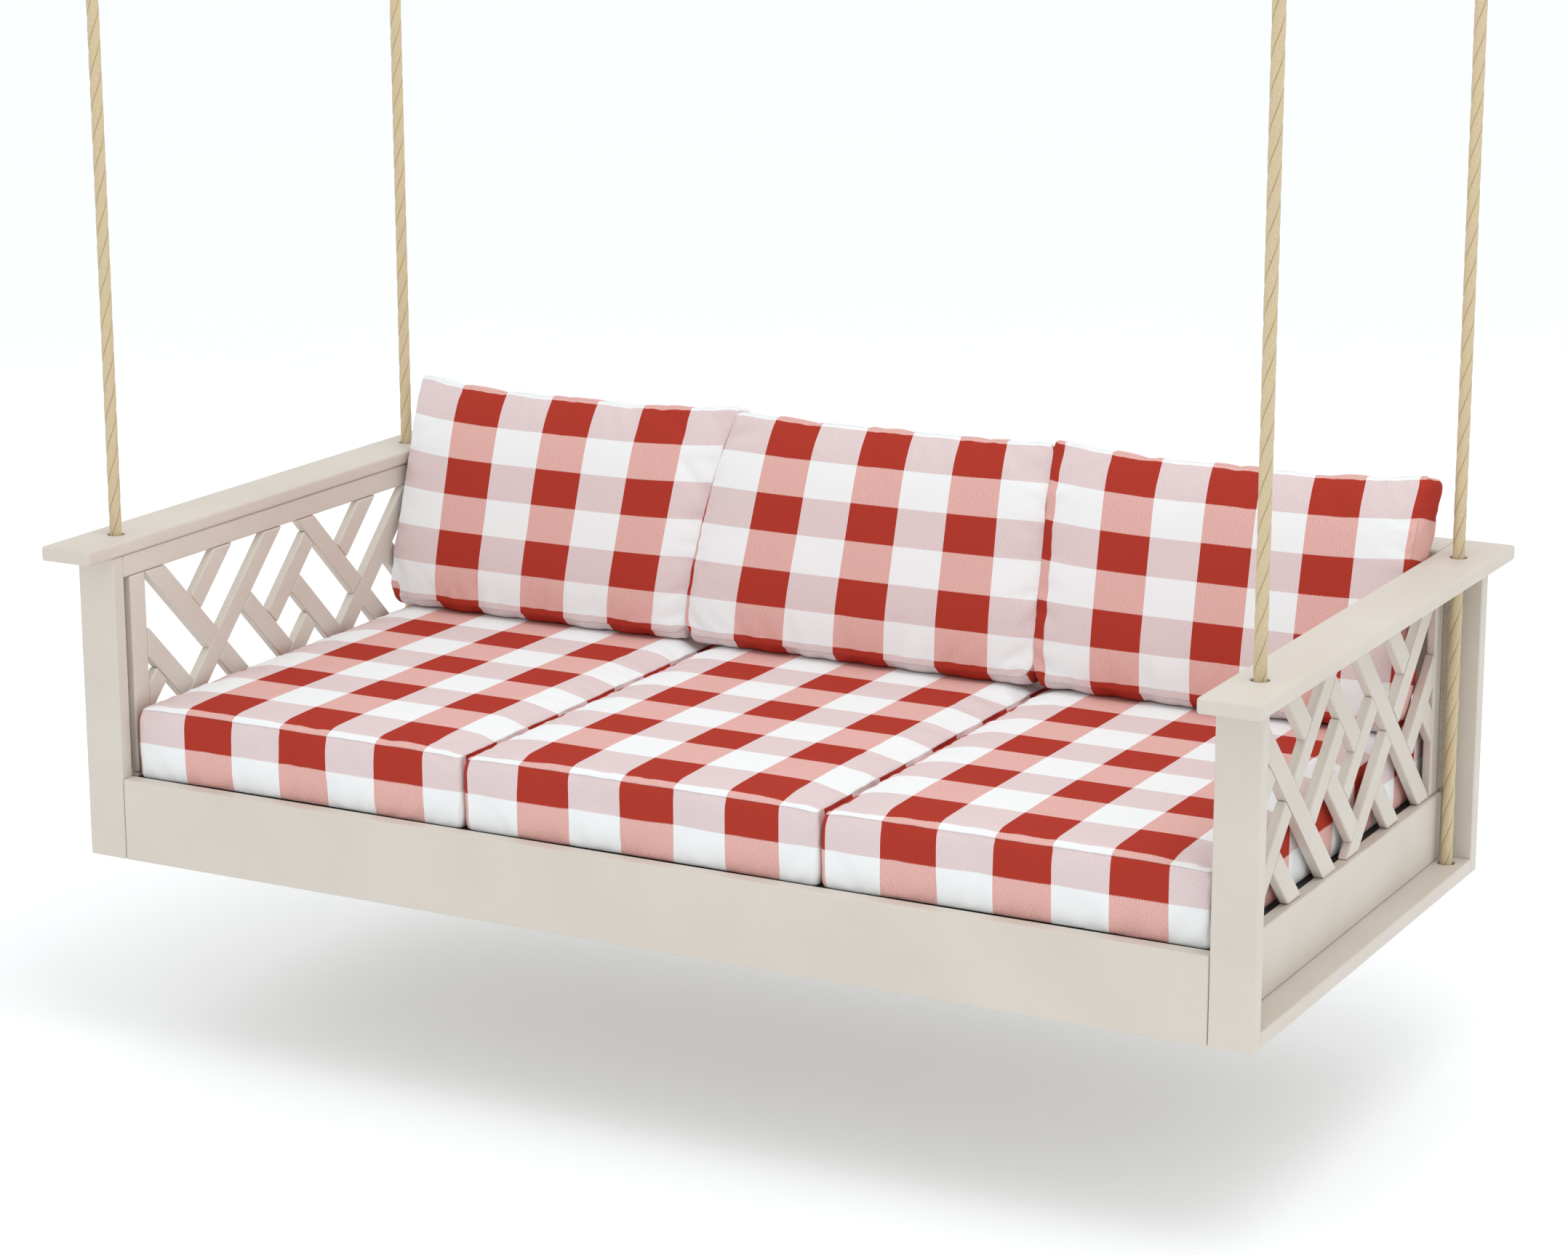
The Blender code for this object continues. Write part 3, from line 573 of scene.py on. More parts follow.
def rope_look():
    """Twisted tan fibre, with painted shade in the grooves between its strands and between its yarns. The
    map 'lay' holds the strand count around and metres along.
    """
    look = Look("tan_rope", 0.92, Specular_IOR_Level=0.2, Sheen_Weight=0.15)
    lay = look.node("ShaderNodeUVMap", uv_map="lay")
    strand, metre = look.parts(lay)[:2]
    across = look.math("SUBTRACT", look.math("FRACT", strand), 0.5)
    groove = look.math("ABSOLUTE", across)
    yarn_turn = look.math("MULTIPLY_ADD", metre, YARNS_PER_METRE,
                          look.math("MULTIPLY", across, YARN_SLANT))
    yarn = look.math("ABSOLUTE", look.math("SINE", look.math("MULTIPLY", yarn_turn, pi)))
    fibre = look.noise(look.stretched(lay, ROPE_FIBRE_SCALE, ROPE_FIBRE_TURN), 1.0, 4.0, 0.7)
    cloud = look.noise(look.place(), ROPE_CLOUD_SCALE, 2.0)
    tone = look.shades(look.ramp(fibre, 0.3, 0.72), ROPE_FIBRE)
    tone = look.tint(tone, look.ramp(cloud, 0.35, 0.7), 0.35, ROPE_CLOUD)
    # Painted shade: darker between the yarns, where their bumps dip
    tone = look.tint(tone, look.ramp(yarn, 0.35, 0.0), 0.10, ROPE_YARN_SHADE)
    # Painted shade: darker along the grooves between the strands
    look.colour(look.tint(tone, look.ramp(groove, 0.44, 0.5), 0.8, ROPE_GROOVE_SHADE))
    first = look.bump(yarn, 0.0006, 0.6)
    look.bump(fibre, 0.0007, 0.7, first)
    return look.made


def steel_look(name, shade, roughness, metallic=1.0):
    """Galvanised or brushed steel with faint spangle and smears."""
    look = Look(name, roughness, metallic)
    place = look.place()
    spangle = look.node("ShaderNodeTexVoronoi", "Color", (("Vector", place), ("Scale", SPANGLE_SCALE)))
    grey = look.node("ShaderNodeRGBToBW", 0, ((0, spangle),))
    look.colour(look.shades(grey, [[c - SPANGLE_DARKER for c in shade],
                                   [c + SPANGLE_LIGHTER for c in shade]]))
    smear = look.noise(place, SMEAR_SCALE, 4.0, 0.7)
    look.rough(look.math("MULTIPLY_ADD", smear, 0.22, roughness - 0.08))
    look.bump(smear, 0.00008, 0.5)
    return look.made


def mesh_look():
    """Black open-weave dust cloth under the cushions."""
    look = Look("black_mesh", 0.85, Sheen_Weight=0.1)
    warp, weft = look.parts(look.place())[:2]
    threads = look.math("MAXIMUM",
                        look.math("SINE", look.math("MULTIPLY", warp, THREADS)),
                        look.math("SINE", look.math("MULTIPLY", weft, THREADS)))
    look.colour(look.shades(look.ramp(threads, 0.2, 0.9), BLACK))
    look.bump(threads, 0.0003, 0.6)
    return look.made


def floor_look():
    """A nearly white studio floor with a little light of its own."""
    look = Look("pale_floor", 0.9, Specular_IOR_Level=0.1, Emission_Color=(1, 1, 1, 1),
                Emission_Strength=0.13)
    look.colour(look.shades(look.noise(look.place(), FLOOR_HAZE, 2.0), FLOOR_WHITE))
    return look.made


# ---------------------------------------------------------------- camera

def make_camera():
    """The camera, turned by its azimuth, elevation and roll."""
    right = Vector((cos(CAMERA_AZIMUTH), sin(CAMERA_AZIMUTH), 0))
    back = Vector((sin(CAMERA_AZIMUTH) * cos(CAMERA_ELEVATION),
                   -cos(CAMERA_AZIMUTH) * cos(CAMERA_ELEVATION), sin(CAMERA_ELEVATION)))
    up = back.cross(right)
    rolled_right = right * cos(CAMERA_ROLL) + up * sin(CAMERA_ROLL)
    rolled_up = up * cos(CAMERA_ROLL) - right * sin(CAMERA_ROLL)
    lens = bpy.data.cameras.new("camera")
    lens.lens = CAMERA_LENS
    camera = bpy.data.objects.new("camera", lens)
    turn = Matrix((rolled_right, rolled_up, back)).transposed().to_4x4()
    camera.matrix_world = Matrix.Translation(CAMERA_AT) @ turn
    bpy.context.scene.collection.objects.link(camera)
    bpy.context.scene.camera = camera


# ---------------------------------------------------------------- ropes

def rope_ring_radius(turn):
    """Distance from the centre to the skin of three laid strands; turn counts strands around."""
    lobe = abs(turn - floor(turn) - 0.5) * 2
    return ROPE_RADIUS * (1 - STRAND_LOBE * lobe ** 4)


def laid_rope(path, phase):
    """Three strands laid along a path across Y: points, faces and lay coordinates."""
    verts, lay = [], []
    side = Vector((0, -1, 0))
    travelled = 0.0
    for i, point in enumerate(path):
        if i:
            travelled += (point - path[i - 1]).length
        before = path[i - 1] if i else point
        after = path[i + 1] if i + 1 < len(path) else point
        outward = (after - before).normalized().cross(side)
        twist = phase + travelled / ROPE_PITCH
        for j in range(ROPE_SIDES):
            around = j / ROPE_SIDES
            reach = rope_ring_radius(3 * (around + twist))
            grain = noise.noise(Vector((around * 14, travelled * 160, phase * 7))) * ROPE_GRAIN
            reach += grain * (reach / ROPE_RADIUS)
            angle = 2 * pi * around
            verts.append(point + (outward * cos(angle) + side * sin(angle)) * reach)
            lay.append((3 * (around + twist), travelled))
    return verts, tube_faces(len(path), ROPE_SIDES), lay


def rope_mesh(name, verts, faces, lay):
    """A rope's mesh, with its lay coordinates on each face corner, unwrapped round the seam."""
    mesh = bpy.data.meshes.new(name)
    mesh.from_pydata(verts, [], faces)
    layer = mesh.uv_layers.new(name="lay")
    for polygon in mesh.polygons:
        corners = [lay[v] for v in polygon.vertices]
        highest = max(c[0] for c in corners)
        for loop, (turn, along) in zip(polygon.loop_indices, corners):
            layer.data[loop].uv = (turn + (3 if highest - turn > 1.5 else 0), along)
    mesh.shade_smooth()
    return mesh


def add_fibres(verts, faces, lay, low, high, x, y, seed):
    """Short loose hairs that stand off a plumb rope."""
    draw = np.random.default_rng(seed)
    for _ in range(int(FIBRES_PER_METRE * (high - low))):
        z = low + (high - low) * draw.random()
        angle = 2 * pi * draw.random()
        length = FIBRE_LENGTH[0] + FIBRE_LENGTH[1] * draw.random()
        lift = FIBRE_LIFT[0] + FIBRE_LIFT[1] * draw.random()
        swing = draw.uniform(-FIBRE_SWING, FIBRE_SWING)
        climb = draw.choice((-1, 1))
        faces += ring_faces(FIBRE_RINGS, 3, len(verts))
        for step in range(FIBRE_RINGS):
            t = step / (FIBRE_RINGS - 1)
            reach = FIBRE_ROOT + length * lift * t
            bent = angle + swing * t * t
            centre = Vector((x + reach * cos(bent), y + reach * sin(bent),
                             z + climb * length * t * (FIBRE_CLIMB - lift)))
            thick = FIBRE_THICK * (FIBRE_TAPER - t)
            for k in range(3):
                turn = FIBRE_CORNER * k
                verts.append(centre + Vector((thick * cos(turn), thick * sin(turn), thick * cos(turn + 1))))
                lay.append((0.5, z))


def plumb_path(x, y, low, high):
    """Points straight up from low to high, one for each ring of a rope."""
    count = max(2, round((high - low) / ROPE_RING_STEP) + 1)
    return [Vector((x, y, low + (high - low) * i / (count - 1))) for i in range(count)]


def make_ropes(look):
    """Each rope is two pieces that meet inside the arm's hole, where it bends as the swing moves."""
    for i, (corner, (fx, fy)) in enumerate(CORNERS.items()):
        x, y = fx * ROPE_X, fy * ROPE_Y
        for part, low, high, body, seen in (
                ("upper", HOLE_PIVOT, ROPE_TOP, f"rope_{corner}", (ARM_TOP, ROPE_TOP)),
                ("lower", BASE - ROPE_END_INSET, HOLE_PIVOT, "swing_seat", (PLATE_TOP, ARM_LOW))):
            node = f"rope_{part}_{corner}"
            path = plumb_path(x, y, low, high)
            verts, faces, lay = laid_rope(path, ROPE_PHASE_STEP * i + (low - HOLE_PIVOT) / ROPE_PITCH)
            add_fibres(verts, faces, lay, *seen, x, y, 10 * i + 5)
            rope = mesh_piece(f"laid_{node}", rope_mesh(node, verts, faces, lay), look, body,
                              [node])
            if part == "upper":
                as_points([tuple(p) for p in path[::CORD_PATH_STEP]] + [tuple(path[-1])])


# ---------------------------------------------------------------- boards

def board(node, look, edge=BOARD_EDGE):
    """A length of lumber in place of a CAD board, with softly rounded edges."""
    low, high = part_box(node)
    if node in ("front_rail", "rear_rail"):
        low.x, high.x = low.x + RAIL_JOINT, high.x - RAIL_JOINT
    bm = bmesh.new()
    add_rounded_box(bm, low, high, edge)
    return bm_piece(f"{node}_board", bm, look, "swing_seat", [node])


def rope_hole_cutter(x, y, low, high):
    """A cutter for a rope's hole, flared at both faces so that the hole's rims are eased."""
    flare = HOLE_FLARE
    profile = [(HOLE_RADIUS + flare * 2, low - flare)]
    for i in range(4):
        bend = pi / 2 * i / 3
        profile.append((HOLE_RADIUS + flare * (1 - sin(bend)), low + flare * (1 - cos(bend))))
    profile += [(r, low + high - z) for r, z in reversed(profile)]
    bm = bmesh.new()
    add_turned(bm, (x, y, 0), profile)
    cutter = bpy.data.objects.new("hole", closed_mesh("hole", bm))
    bpy.context.scene.collection.objects.link(cutter)
    return cutter


def drill(piece, cutters):
    """Cuts the rope holes into a board and keeps the result as its mesh."""
    piece.modifiers.clear()
    for cutter in cutters:
        step = piece.modifiers.new("hole", "BOOLEAN")
        step.object = cutter
        step.solver = "EXACT"
    bpy.context.view_layer.update()
    graph = bpy.context.evaluated_depsgraph_get()
    mesh = bpy.data.meshes.new_from_object(piece.evaluated_get(graph))
    piece.modifiers.clear()
    piece.data = mesh
    keep_flat(piece)
    for cutter in cutters:
        bpy.data.objects.remove(cutter)


def make_boards(look):
    """All the single boards, with rope holes through the arms and the bottom plates."""
    plain = [f"post_{corner}" for corner in CORNERS] + ["front_rail", "rear_rail", "back_top_rail"]
    plain += [f"{kind}_{side}" for side in SIDES for kind in ("side_rail", "side_top_rail")]
    for node in plain:
        board(node, look)
    board("back_cap", look, edge=CAP_EDGE)
    for side, fx in SIDES.items():
        for node, edge in ((f"arm_{side}", CAP_EDGE), (f"bottom_plate_{side}", BOARD_EDGE)):
            piece = board(node, look, edge=edge)
            low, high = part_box(node)
            drill(piece, [rope_hole_cutter(fx * ROPE_X, fy * ROPE_Y, low.z, high.z)
                          for fy in ENDS.values()])


# ---------------------------------------------------------------- lattice

def clipped(outline, normal, limit):
    """The part of a convex outline where its points' dot product with normal is under limit."""
    kept = []
    for i, here in enumerate(outline):
        there = outline[(i + 1) % len(outline)]
        a, b = here.dot(normal) - limit, there.dot(normal) - limit
        if a <= 0:
            kept.append(here)
        if a * b < 0:
            kept.append(here.lerp(there, a / (a - b)))
    return kept


def lattice_runs(number, rising):
    """Where one diagonal slat is whole, as pairs of crossing slats that it butts against."""
    turn = number % 3
    if rising:
        runs = {0: [(None, None)],
                1: [(1 - number, 3 - number), (4 - number, None)],
                2: [(None, 2 - number), (3 - number, 5 - number)]}
    else:
        runs = {0: [(None, 3 - number), (3 - number, None)],
                1: [(4 - number, 2 - number)],
                2: [(4 - number, 2 - number)]}
    return runs[turn]


def lattice_outlines(half_width, low, high, rising):
    """The outlines of the slats that lean one way, as lists of (across, up) points."""
    reach = SLAT_WIDTH / 2 * sqrt(2)
    across, along = Vector((1, -1)), Vector((1, 1))
    if not rising:
        across, along = along, across
    outline_of_bay = [Vector((-half_width, low)), Vector((half_width, low)),
                      Vector((half_width, high)), Vector((-half_width, high))]
    sign = 1 if rising else -1
    outlines = []
    for number in range(-2, 5):
        middle = -sign * (LATTICE_FIRST + LATTICE_PITCH * number)
        for first, last in lattice_runs(number, rising):
            outline = clipped(outline_of_bay, across, middle + reach)
            outline = clipped(outline, -across, reach - middle)
            if first is not None:
                edge = sign * (LATTICE_FIRST + LATTICE_PITCH * first) + reach + 2 * SEAM
                outline = clipped(outline, -along, -edge)
            if last is not None:
                edge = sign * (LATTICE_FIRST + LATTICE_PITCH * last) - reach - 2 * SEAM
                outline = clipped(outline, along, edge)
            if len(outline) > 2:
                outlines.append(outline)
    return outlines


def make_panel(node, bays, half_bay, stiles, place, push, look):
    """A lattice panel of separate slats and stiles that butt against each other."""
    low, high = RAIL_TOP + 2 * SEAM, TOP_RAIL_LOW - 2 * SEAM
    bm = bmesh.new()
    for bay in bays:
        for rising in (True, False):
            for outline in lattice_outlines(half_bay - SEAM, low - BASE, high - BASE, rising):
                shortest = min((a - b).length for a, b in zip(outline, outline[1:] + outline[:1]))
                edge = min(SLAT_EDGE, shortest * 0.4)
                add_rounded_prism(bm, [place(bay + p.x, p.y + BASE) for p in outline], push, edge)
    for middle in stiles:
        near, far = middle - STILE_WIDTH / 2, middle + STILE_WIDTH / 2
        outline = [place(near, low), place(far, low), place(far, high), place(near, high)]
        add_rounded_prism(bm, outline, push, SLAT_EDGE)
    return bm_piece(f"{node}_slats", bm, look, "swing_seat", [node])


def make_lattices(look):
    """The two end panels, one bay each, and the back panel with two bays."""
    for side, fx in SIDES.items():
        node = f"side_lattice_{side}"
        low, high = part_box(node)
        inner = low.x if fx > 0 else high.x
        thick = high.x - low.x
        half = high.y
        stiles = [fy * (half - STILE_WIDTH / 2) for fy in ENDS.values()]

        def place(across, up):
            return (inner, -fx * across, up)
        make_panel(node, [0], half - STILE_WIDTH, stiles, place, (fx * thick, 0, 0), look)
    low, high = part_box("back_lattice")
    half = high.x
    half_bay = (half - STILE_WIDTH * 1.5) / 2
    bays = [fx * (STILE_WIDTH / 2 + half_bay) for fx in SIDES.values()]
    stiles = [place * (half - STILE_WIDTH / 2) for place in SEATS.values()]
    make_panel("back_lattice", bays, half_bay, stiles, lambda across, up: (across, low.y, up),
               (0, high.y - low.y, 0), look)


# ---------------------------------------------------------------- hanging hardware

def teardrop(radius, lean, leg, points, straight):
    """An arc over the top with two straight legs, as (across, up) from the arc's centre."""
    arc = [(radius * cos(a), radius * sin(a))
           for a in (-lean + (pi + 2 * lean) * i / (points - 1) for i in range(points))]
    drop, shift = leg * cos(lean), leg * sin(lean)
    first = [(arc[0][0] - shift * k / straight, arc[0][1] - drop * k / straight)
             for k in range(straight, 0, -1)]
    return first + arc + [(-a, b) for a, b in reversed(first)]


def add_screw(bm, place, outward, size=SMALL_SCREW):
    """A low domed screw head with a cross recess, looking along outward."""
    radius, height = size
    head = bmesh.new()
    add_turned(head, (0, 0, 0), [(radius * a, height * b) for a, b in SCREW_DOME], 24)
    for vert in head.verts:
        x, y, z = vert.co
        in_cross = min(abs(x), abs(y)) < radius * CROSS_WIDTH and hypot(x, y) < radius * CROSS_REACH
        if in_cross and z > height * 0.9:
            vert.co.z -= height * CROSS_DEPTH
    turn = Vector((0, 0, 1)).rotation_difference(Vector(outward)).to_matrix().to_4x4()
    bmesh.ops.transform(head, matrix=Matrix.Translation(place) @ turn, verts=head.verts)
    add_part(bm, head)


def make_whipping(corner, x, y, top, rope):
    """The twine that binds the rope's eye, round below and widening to the two parts above."""
    verts, lay = [], []
    rings, sides = 8 * WHIPPING_TURNS + 1, 64
    for i in range(rings):
        t = i / (rings - 1)
        wide, deep = SLEEVE_WIDE, SLEEVE_DEEP
        if t < SLEEVE_NECK_END + SLEEVE_WIDENING:
            deep = SLEEVE_NECK + (SLEEVE_DEEP - SLEEVE_NECK) * min(1.0, t / SLEEVE_NECK_END)
            blend = max(0.0, (t - SLEEVE_NECK_END) / SLEEVE_WIDENING)
            wide = deep + (SLEEVE_WIDE - deep) * (blend * blend * (3 - 2 * blend))
        for j in range(sides):
            around = j / sides
            bead = abs(sin(pi * (t * WHIPPING_TURNS + around)))
            shrink = BEAD_DEPTH * (1 - bead) + (SLEEVE_END_TAPER if i in (0, rings - 1) else 0)
            angle = 2 * pi * around
            verts.append(Vector((x + (wide - shrink) * cos(angle), y + (deep - shrink) * sin(angle),
                                 top - SLEEVE_HEIGHT * (1 - t))))
            lay.append((0.5 + 0.3 * (bead - 0.5), WHIPPING_TURNS * t * BEAD_LAY + around * BEAD_LAY))
    mesh = rope_mesh("whipping", verts, tube_faces(rings, sides), lay)
    mesh_piece(f"whipping_{corner}", mesh, rope, f"rope_{corner}", [f"rope_eye_{corner}"])


def make_rope_eye(corner, x, y, rope, phase):
    """The rope's spliced loop round the thimble, with the whipping below it."""
    node = f"rope_eye_{corner}"
    low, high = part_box(node)
    radius = (high.x - low.x) / 2 - ROPE_RADIUS
    centre = high.z - ROPE_RADIUS - radius
    end_x, drop = ROPE_RADIUS + ROPE_GAP, LOOP_DROP + WHIPPING_LAP
    lean = asin(radius / hypot(drop, end_x)) - atan2(end_x, drop)
    leg = (radius * cos(lean) - end_x) / sin(lean)
    path = [Vector((x + a, y, centre + b)) for a, b in teardrop(radius, lean, leg, 44, 18)]
    mesh_piece(f"laid_{node}", rope_mesh(node, *laid_rope(path, phase)), rope, f"rope_{corner}",
               [node])
    make_whipping(corner, x, y, centre - LOOP_DROP, rope)


def make_thimble(corner, x, y, steel):
    """The grooved steel teardrop that lines the rope's eye."""
    node = f"thimble_{corner}"
    low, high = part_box(node)
    wide = (high.y - low.y) / 2
    outer = (high.x - low.x) / 2
    sheet, lip = THIMBLE_SHEET, THIMBLE_FLANGE + THIMBLE_SHEET
    inner = outer - THIMBLE_FLANGE - sheet
    groove = ROPE_RADIUS + THIMBLE_GAP
    drop = LOOP_DROP + WHIPPING_LAP
    lean = asin((inner + sheet + groove) / hypot(drop, ROPE_RADIUS)) - atan2(ROPE_RADIUS, drop)
    leg = (inner * cos(lean) - THIMBLE_THROAT) / sin(lean)
    path = [Vector((x + a, y, high.z - outer + b)) for a, b in teardrop(inner, lean, leg, 48, 10)]
    half = [(sheet, groove - 0.004), (sheet + 0.001, groove - 0.0010), (sheet + 0.003, groove),
            (lip - 0.0006, groove + 0.0002), (lip, wide - 0.0007), (lip - 0.0008, wide),
            (0.0008, wide - 0.0002), (0, wide - 0.0015)]
    section = [(a, -b) for a, b in reversed(half[:-1])] + half + [(0, 0), (0, -wide + 0.0015)]
    bm = bmesh.new()
    add_sweep(bm, path, section, (0, -1, 0), False)
    bm_piece(f"{node}_sheet", bm, steel, f"rope_{corner}", [node], 50)


def make_quick_link(corner, x, y, steel):
    """An oval screw link with its hexagonal nut and the thread beside it."""
    node = f"quick_link_{corner}"
    low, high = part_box(node)
    wire, radius = LINK_WIRE, y - low.y - LINK_WIRE
    half = (high.z - low.z) / 2 - wire - radius
    middle = (low.z + high.z) / 2
    over = [(radius * cos(a), half + radius * sin(a)) for a in (pi * i / 24 for i in range(25))]
    rise = [-half + 2 * half * i / 12 for i in range(1, 12)]
    path = []
    for sign in (1, -1):
        path += [Vector((x, y + sign * a, middle + sign * b)) for a, b in over]
        path += [Vector((x, y - sign * radius, middle - sign * b)) for b in rise]
    bm = bmesh.new()
    add_sweep(bm, path, round_section(wire), (1, 0, 0), True)
    nut, end = high.y - y - radius, LINK_NUT_LENGTH / 2
    inside = [(wire + 0.0004, end - 0.0004), (nut - LINK_NUT_BEVEL, end), (nut, end - LINK_NUT_BEVEL)]
    add_turned(bm, (x, y + radius, middle), [(a, -b) for a, b in inside] + inside[::-1], 6)
    thread = [(wire + (0.0006 if i % 2 else 0.0001), end + THREAD_STEP * i)
              for i in range(THREAD_TURNS * 2 + 1)]
    add_turned(bm, (x, y + radius, middle), thread, 24)
    bm_piece(f"{node}_wire", bm, steel, f"link_{corner}", [node], 32)


def make_ceiling_plate(corner, x, y, steel):
    """A round plate with a welded eye and four screws."""
    node = f"ceiling_plate_{corner}"
    low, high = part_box(node)
    radius, thick = (high.x - low.x) / 2, PLATE_THICK
    face = high.z - thick
    bm = bmesh.new()
    rim = [(radius - 0.0012, 0), (radius, -0.0008), (radius, -thick + 0.0014),
           (radius - 0.0006, -thick + 0.0004), (radius - 0.0016, -thick), (0.012, -thick)]
    add_turned(bm, (x, y, high.z), rim, 72)
    eye = EYE_REACH - EYE_WIRE
    centre = low.z + EYE_WIRE + eye
    top = face + EYE_SINK
    arc = [Vector((x + eye * cos(a), y, centre + eye * sin(a)))
           for a in (pi + pi * i / 28 for i in range(29))]
    heights = (top, (top + centre) / 2)
    path = [Vector((x - eye, y, z)) for z in heights] + arc
    path += [Vector((x + eye, y, z)) for z in reversed(heights)]
    add_sweep(bm, path, round_section(EYE_WIRE), (0, 1, 0), False)
    bead = [(EYE_WIRE + 0.0028, 0.0004), (EYE_WIRE + 0.0026, -0.0006), (EYE_WIRE + 0.0016, -0.0018),
            (EYE_WIRE + 0.0004, -0.0030), (EYE_WIRE - 0.0005, -0.0034)]
    for side in (-1, 1):
        add_turned(bm, (x + side * eye, y, face), bead, 28)
    for i in range(4):
        turn = pi / 4 + pi / 2 * i
        place = (x + PLATE_SCREW_CIRCLE * cos(turn), y + PLATE_SCREW_CIRCLE * sin(turn), face)
        add_screw(bm, place, (0, 0, -1), PLATE_SCREW)
    bm_piece(f"{node}_made", bm, steel, "ceiling", [node])


def make_rope_stop(corner, x, y, steel):
    """The washer and the crimped stop under the bottom plate."""
    node = f"rope_stop_{corner}"
    low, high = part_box(node)
    flange, deep = (high.x - low.x) / 2, high.z - low.z
    knob = flange - STOP_FLANGE
    washer = [(flange - 0.0006, 0), (flange, -0.0006), (flange, -0.0018), (flange - 0.0006, -0.0024)]
    rings = [(knob - 0.0006, -0.0026), (knob, -0.0032)]
    for i in range(STOP_RINGS):
        start = -0.0040 - 0.0022 * i
        rings += [(knob, start), (knob - STOP_GROOVE, start - 0.0006),
                  (knob - STOP_GROOVE, start - 0.0010), (knob, start - 0.0016)]
    rings += [(knob, -deep + 0.0012), (knob - 0.0004, -deep + 0.0004), (knob - 0.0012, -deep)]
    bm = bmesh.new()
    for turned in (washer, rings):
        add_turned(bm, (x, y, high.z), turned, 48)
    bm_piece(f"{node}_made", bm, steel, "swing_seat", [node])


def make_bend_core(rope):
    """The rope's core where it bends inside the front left hole."""
    node = "rope_bend_front_left"
    low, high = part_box(node)
    centre, radius = (low + high) / 2, (high.x - low.x) / 2
    rings, sides = 15, 24
    verts, lay = [], []
    for i in range(1, rings + 1):
        slope = -pi / 2 + pi * i / (rings + 1)
        for j in range(sides):
            turn = 2 * pi * j / sides
            outward = Vector((cos(slope) * cos(turn), cos(slope) * sin(turn), sin(slope)))
            verts.append(centre + radius * outward)
            lay.append((3 * j / sides, i * 0.001))
    mesh = rope_mesh(node, verts, tube_faces(rings, sides), lay)
    mesh_piece("rope_bend_core", mesh, rope, "rope_bend", [node])


def make_brackets(steel):
    """Folded steel angles with their screws, one in each corner."""
    quarter = [pi / 2 * i / 4 for i in range(5)]
    sheet, bend = BRACKET_SHEET, BRACKET_BEND
    for corner, (fx, fy) in CORNERS.items():
        node = f"corner_bracket_{corner}"
        low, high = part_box(node)
        x_near, x_far = sorted((abs(low.x), abs(high.x)))
        y_side, y_post = sorted((abs(low.y), abs(high.y)))
        y_face = y_post - sheet
        angle_low = low.z + BRACKET_FOOT_RISE
        angle = [(x_far, y_post), (x_far, y_face)]
        angle += [(x_near + sheet + bend * (1 - sin(a)), y_face - bend * (1 - cos(a))) for a in quarter]
        angle += [(x_near + sheet, y_side), (x_near, y_side)]
        angle += [(x_near + bend * (1 - cos(a)), y_post - bend * (1 - sin(a))) for a in quarter]
        foot = x_near + BRACKET_FOOT_INSET
        strip = [(foot, y_post), (x_far, y_post), (x_far, y_face), (foot, y_face)]
        bm = bmesh.new()
        for outline, start, end, edge, steps in ((angle, angle_low, high.z, BRACKET_EDGES[0], 1),
                                                 (strip, low.z, angle_low, BRACKET_EDGES[1], 2)):
            add_rounded_prism(bm, [(fx * a, fy * b, start) for a, b in outline], (0, 0, end - start),
                              edge, steps)
        screw_x = fx * ((x_near + x_far) / 2 + BRACKET_POST_SCREW)
        for share in BRACKET_SCREWS:
            height = angle_low + share * (high.z - angle_low)
            add_screw(bm, (screw_x, fy * y_face, height), (0, -fy, 0))
            side_height = height - BRACKET_SIDE_CLOSER * (share - 0.5)
            place = (fx * (x_near + sheet), fy * (y_side + BRACKET_SIDE_SCREW), side_height)
            add_screw(bm, place, (fx, 0, 0))
        add_screw(bm, (screw_x, fy * y_face, low.z + BRACKET_FOOT_SCREW), (0, -fy, 0))
        bm_piece(f"{node}_sheet", bm, steel, "swing_seat", [node], 35)


def make_deck(lumber, screws):
    """The slats under the mesh, with the beams and ledgers that carry them."""
    low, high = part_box("seat_deck")
    bm, heads = bmesh.new(), bmesh.new()
    step = (high.x - low.x - DECK_SLAT_WIDTH) / (DECK_SLAT_COUNT - 1)
    slat_low = high.z - DECK_SLAT_THICK
    for i in range(DECK_SLAT_COUNT):
        x = low.x + i * step
        add_rounded_box(bm, (x, low.y, slat_low), (x + DECK_SLAT_WIDTH, high.y, high.z), DECK_EDGE, 2)
    support = slat_low + DECK_LAP
    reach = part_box("bottom_plate_right")[0].x - DECK_END_GAP
    for fy in ENDS.values():
        near, far = high.y - DECK_LEDGER - DECK_GAP, high.y - DECK_GAP
        ys = sorted((fy * near, fy * far))
        add_rounded_box(bm, (-reach, ys[0], support - DECK_LEDGER), (reach, ys[1], support), DECK_EDGE, 2)
        middle = fy * high.y / 3
        add_rounded_box(bm, (-reach, middle - DECK_BEAM / 2, low.z),
                        (reach, middle + DECK_BEAM / 2, support), DECK_BEAM_EDGE, 2)
        for i in range(LEDGER_SCREWS):
            x = reach * (i - LEDGER_SCREWS // 2) / LEDGER_SCREW_SPREAD
            place = (x, fy * near, support - DECK_LEDGER / 2)
            add_screw(heads, place, (0, -fy, 0))
    bm_piece("seat_deck_boards", bm, lumber, "swing_seat", ["seat_deck"])
    bm_piece("ledger_screws", heads, screws, "swing_seat")


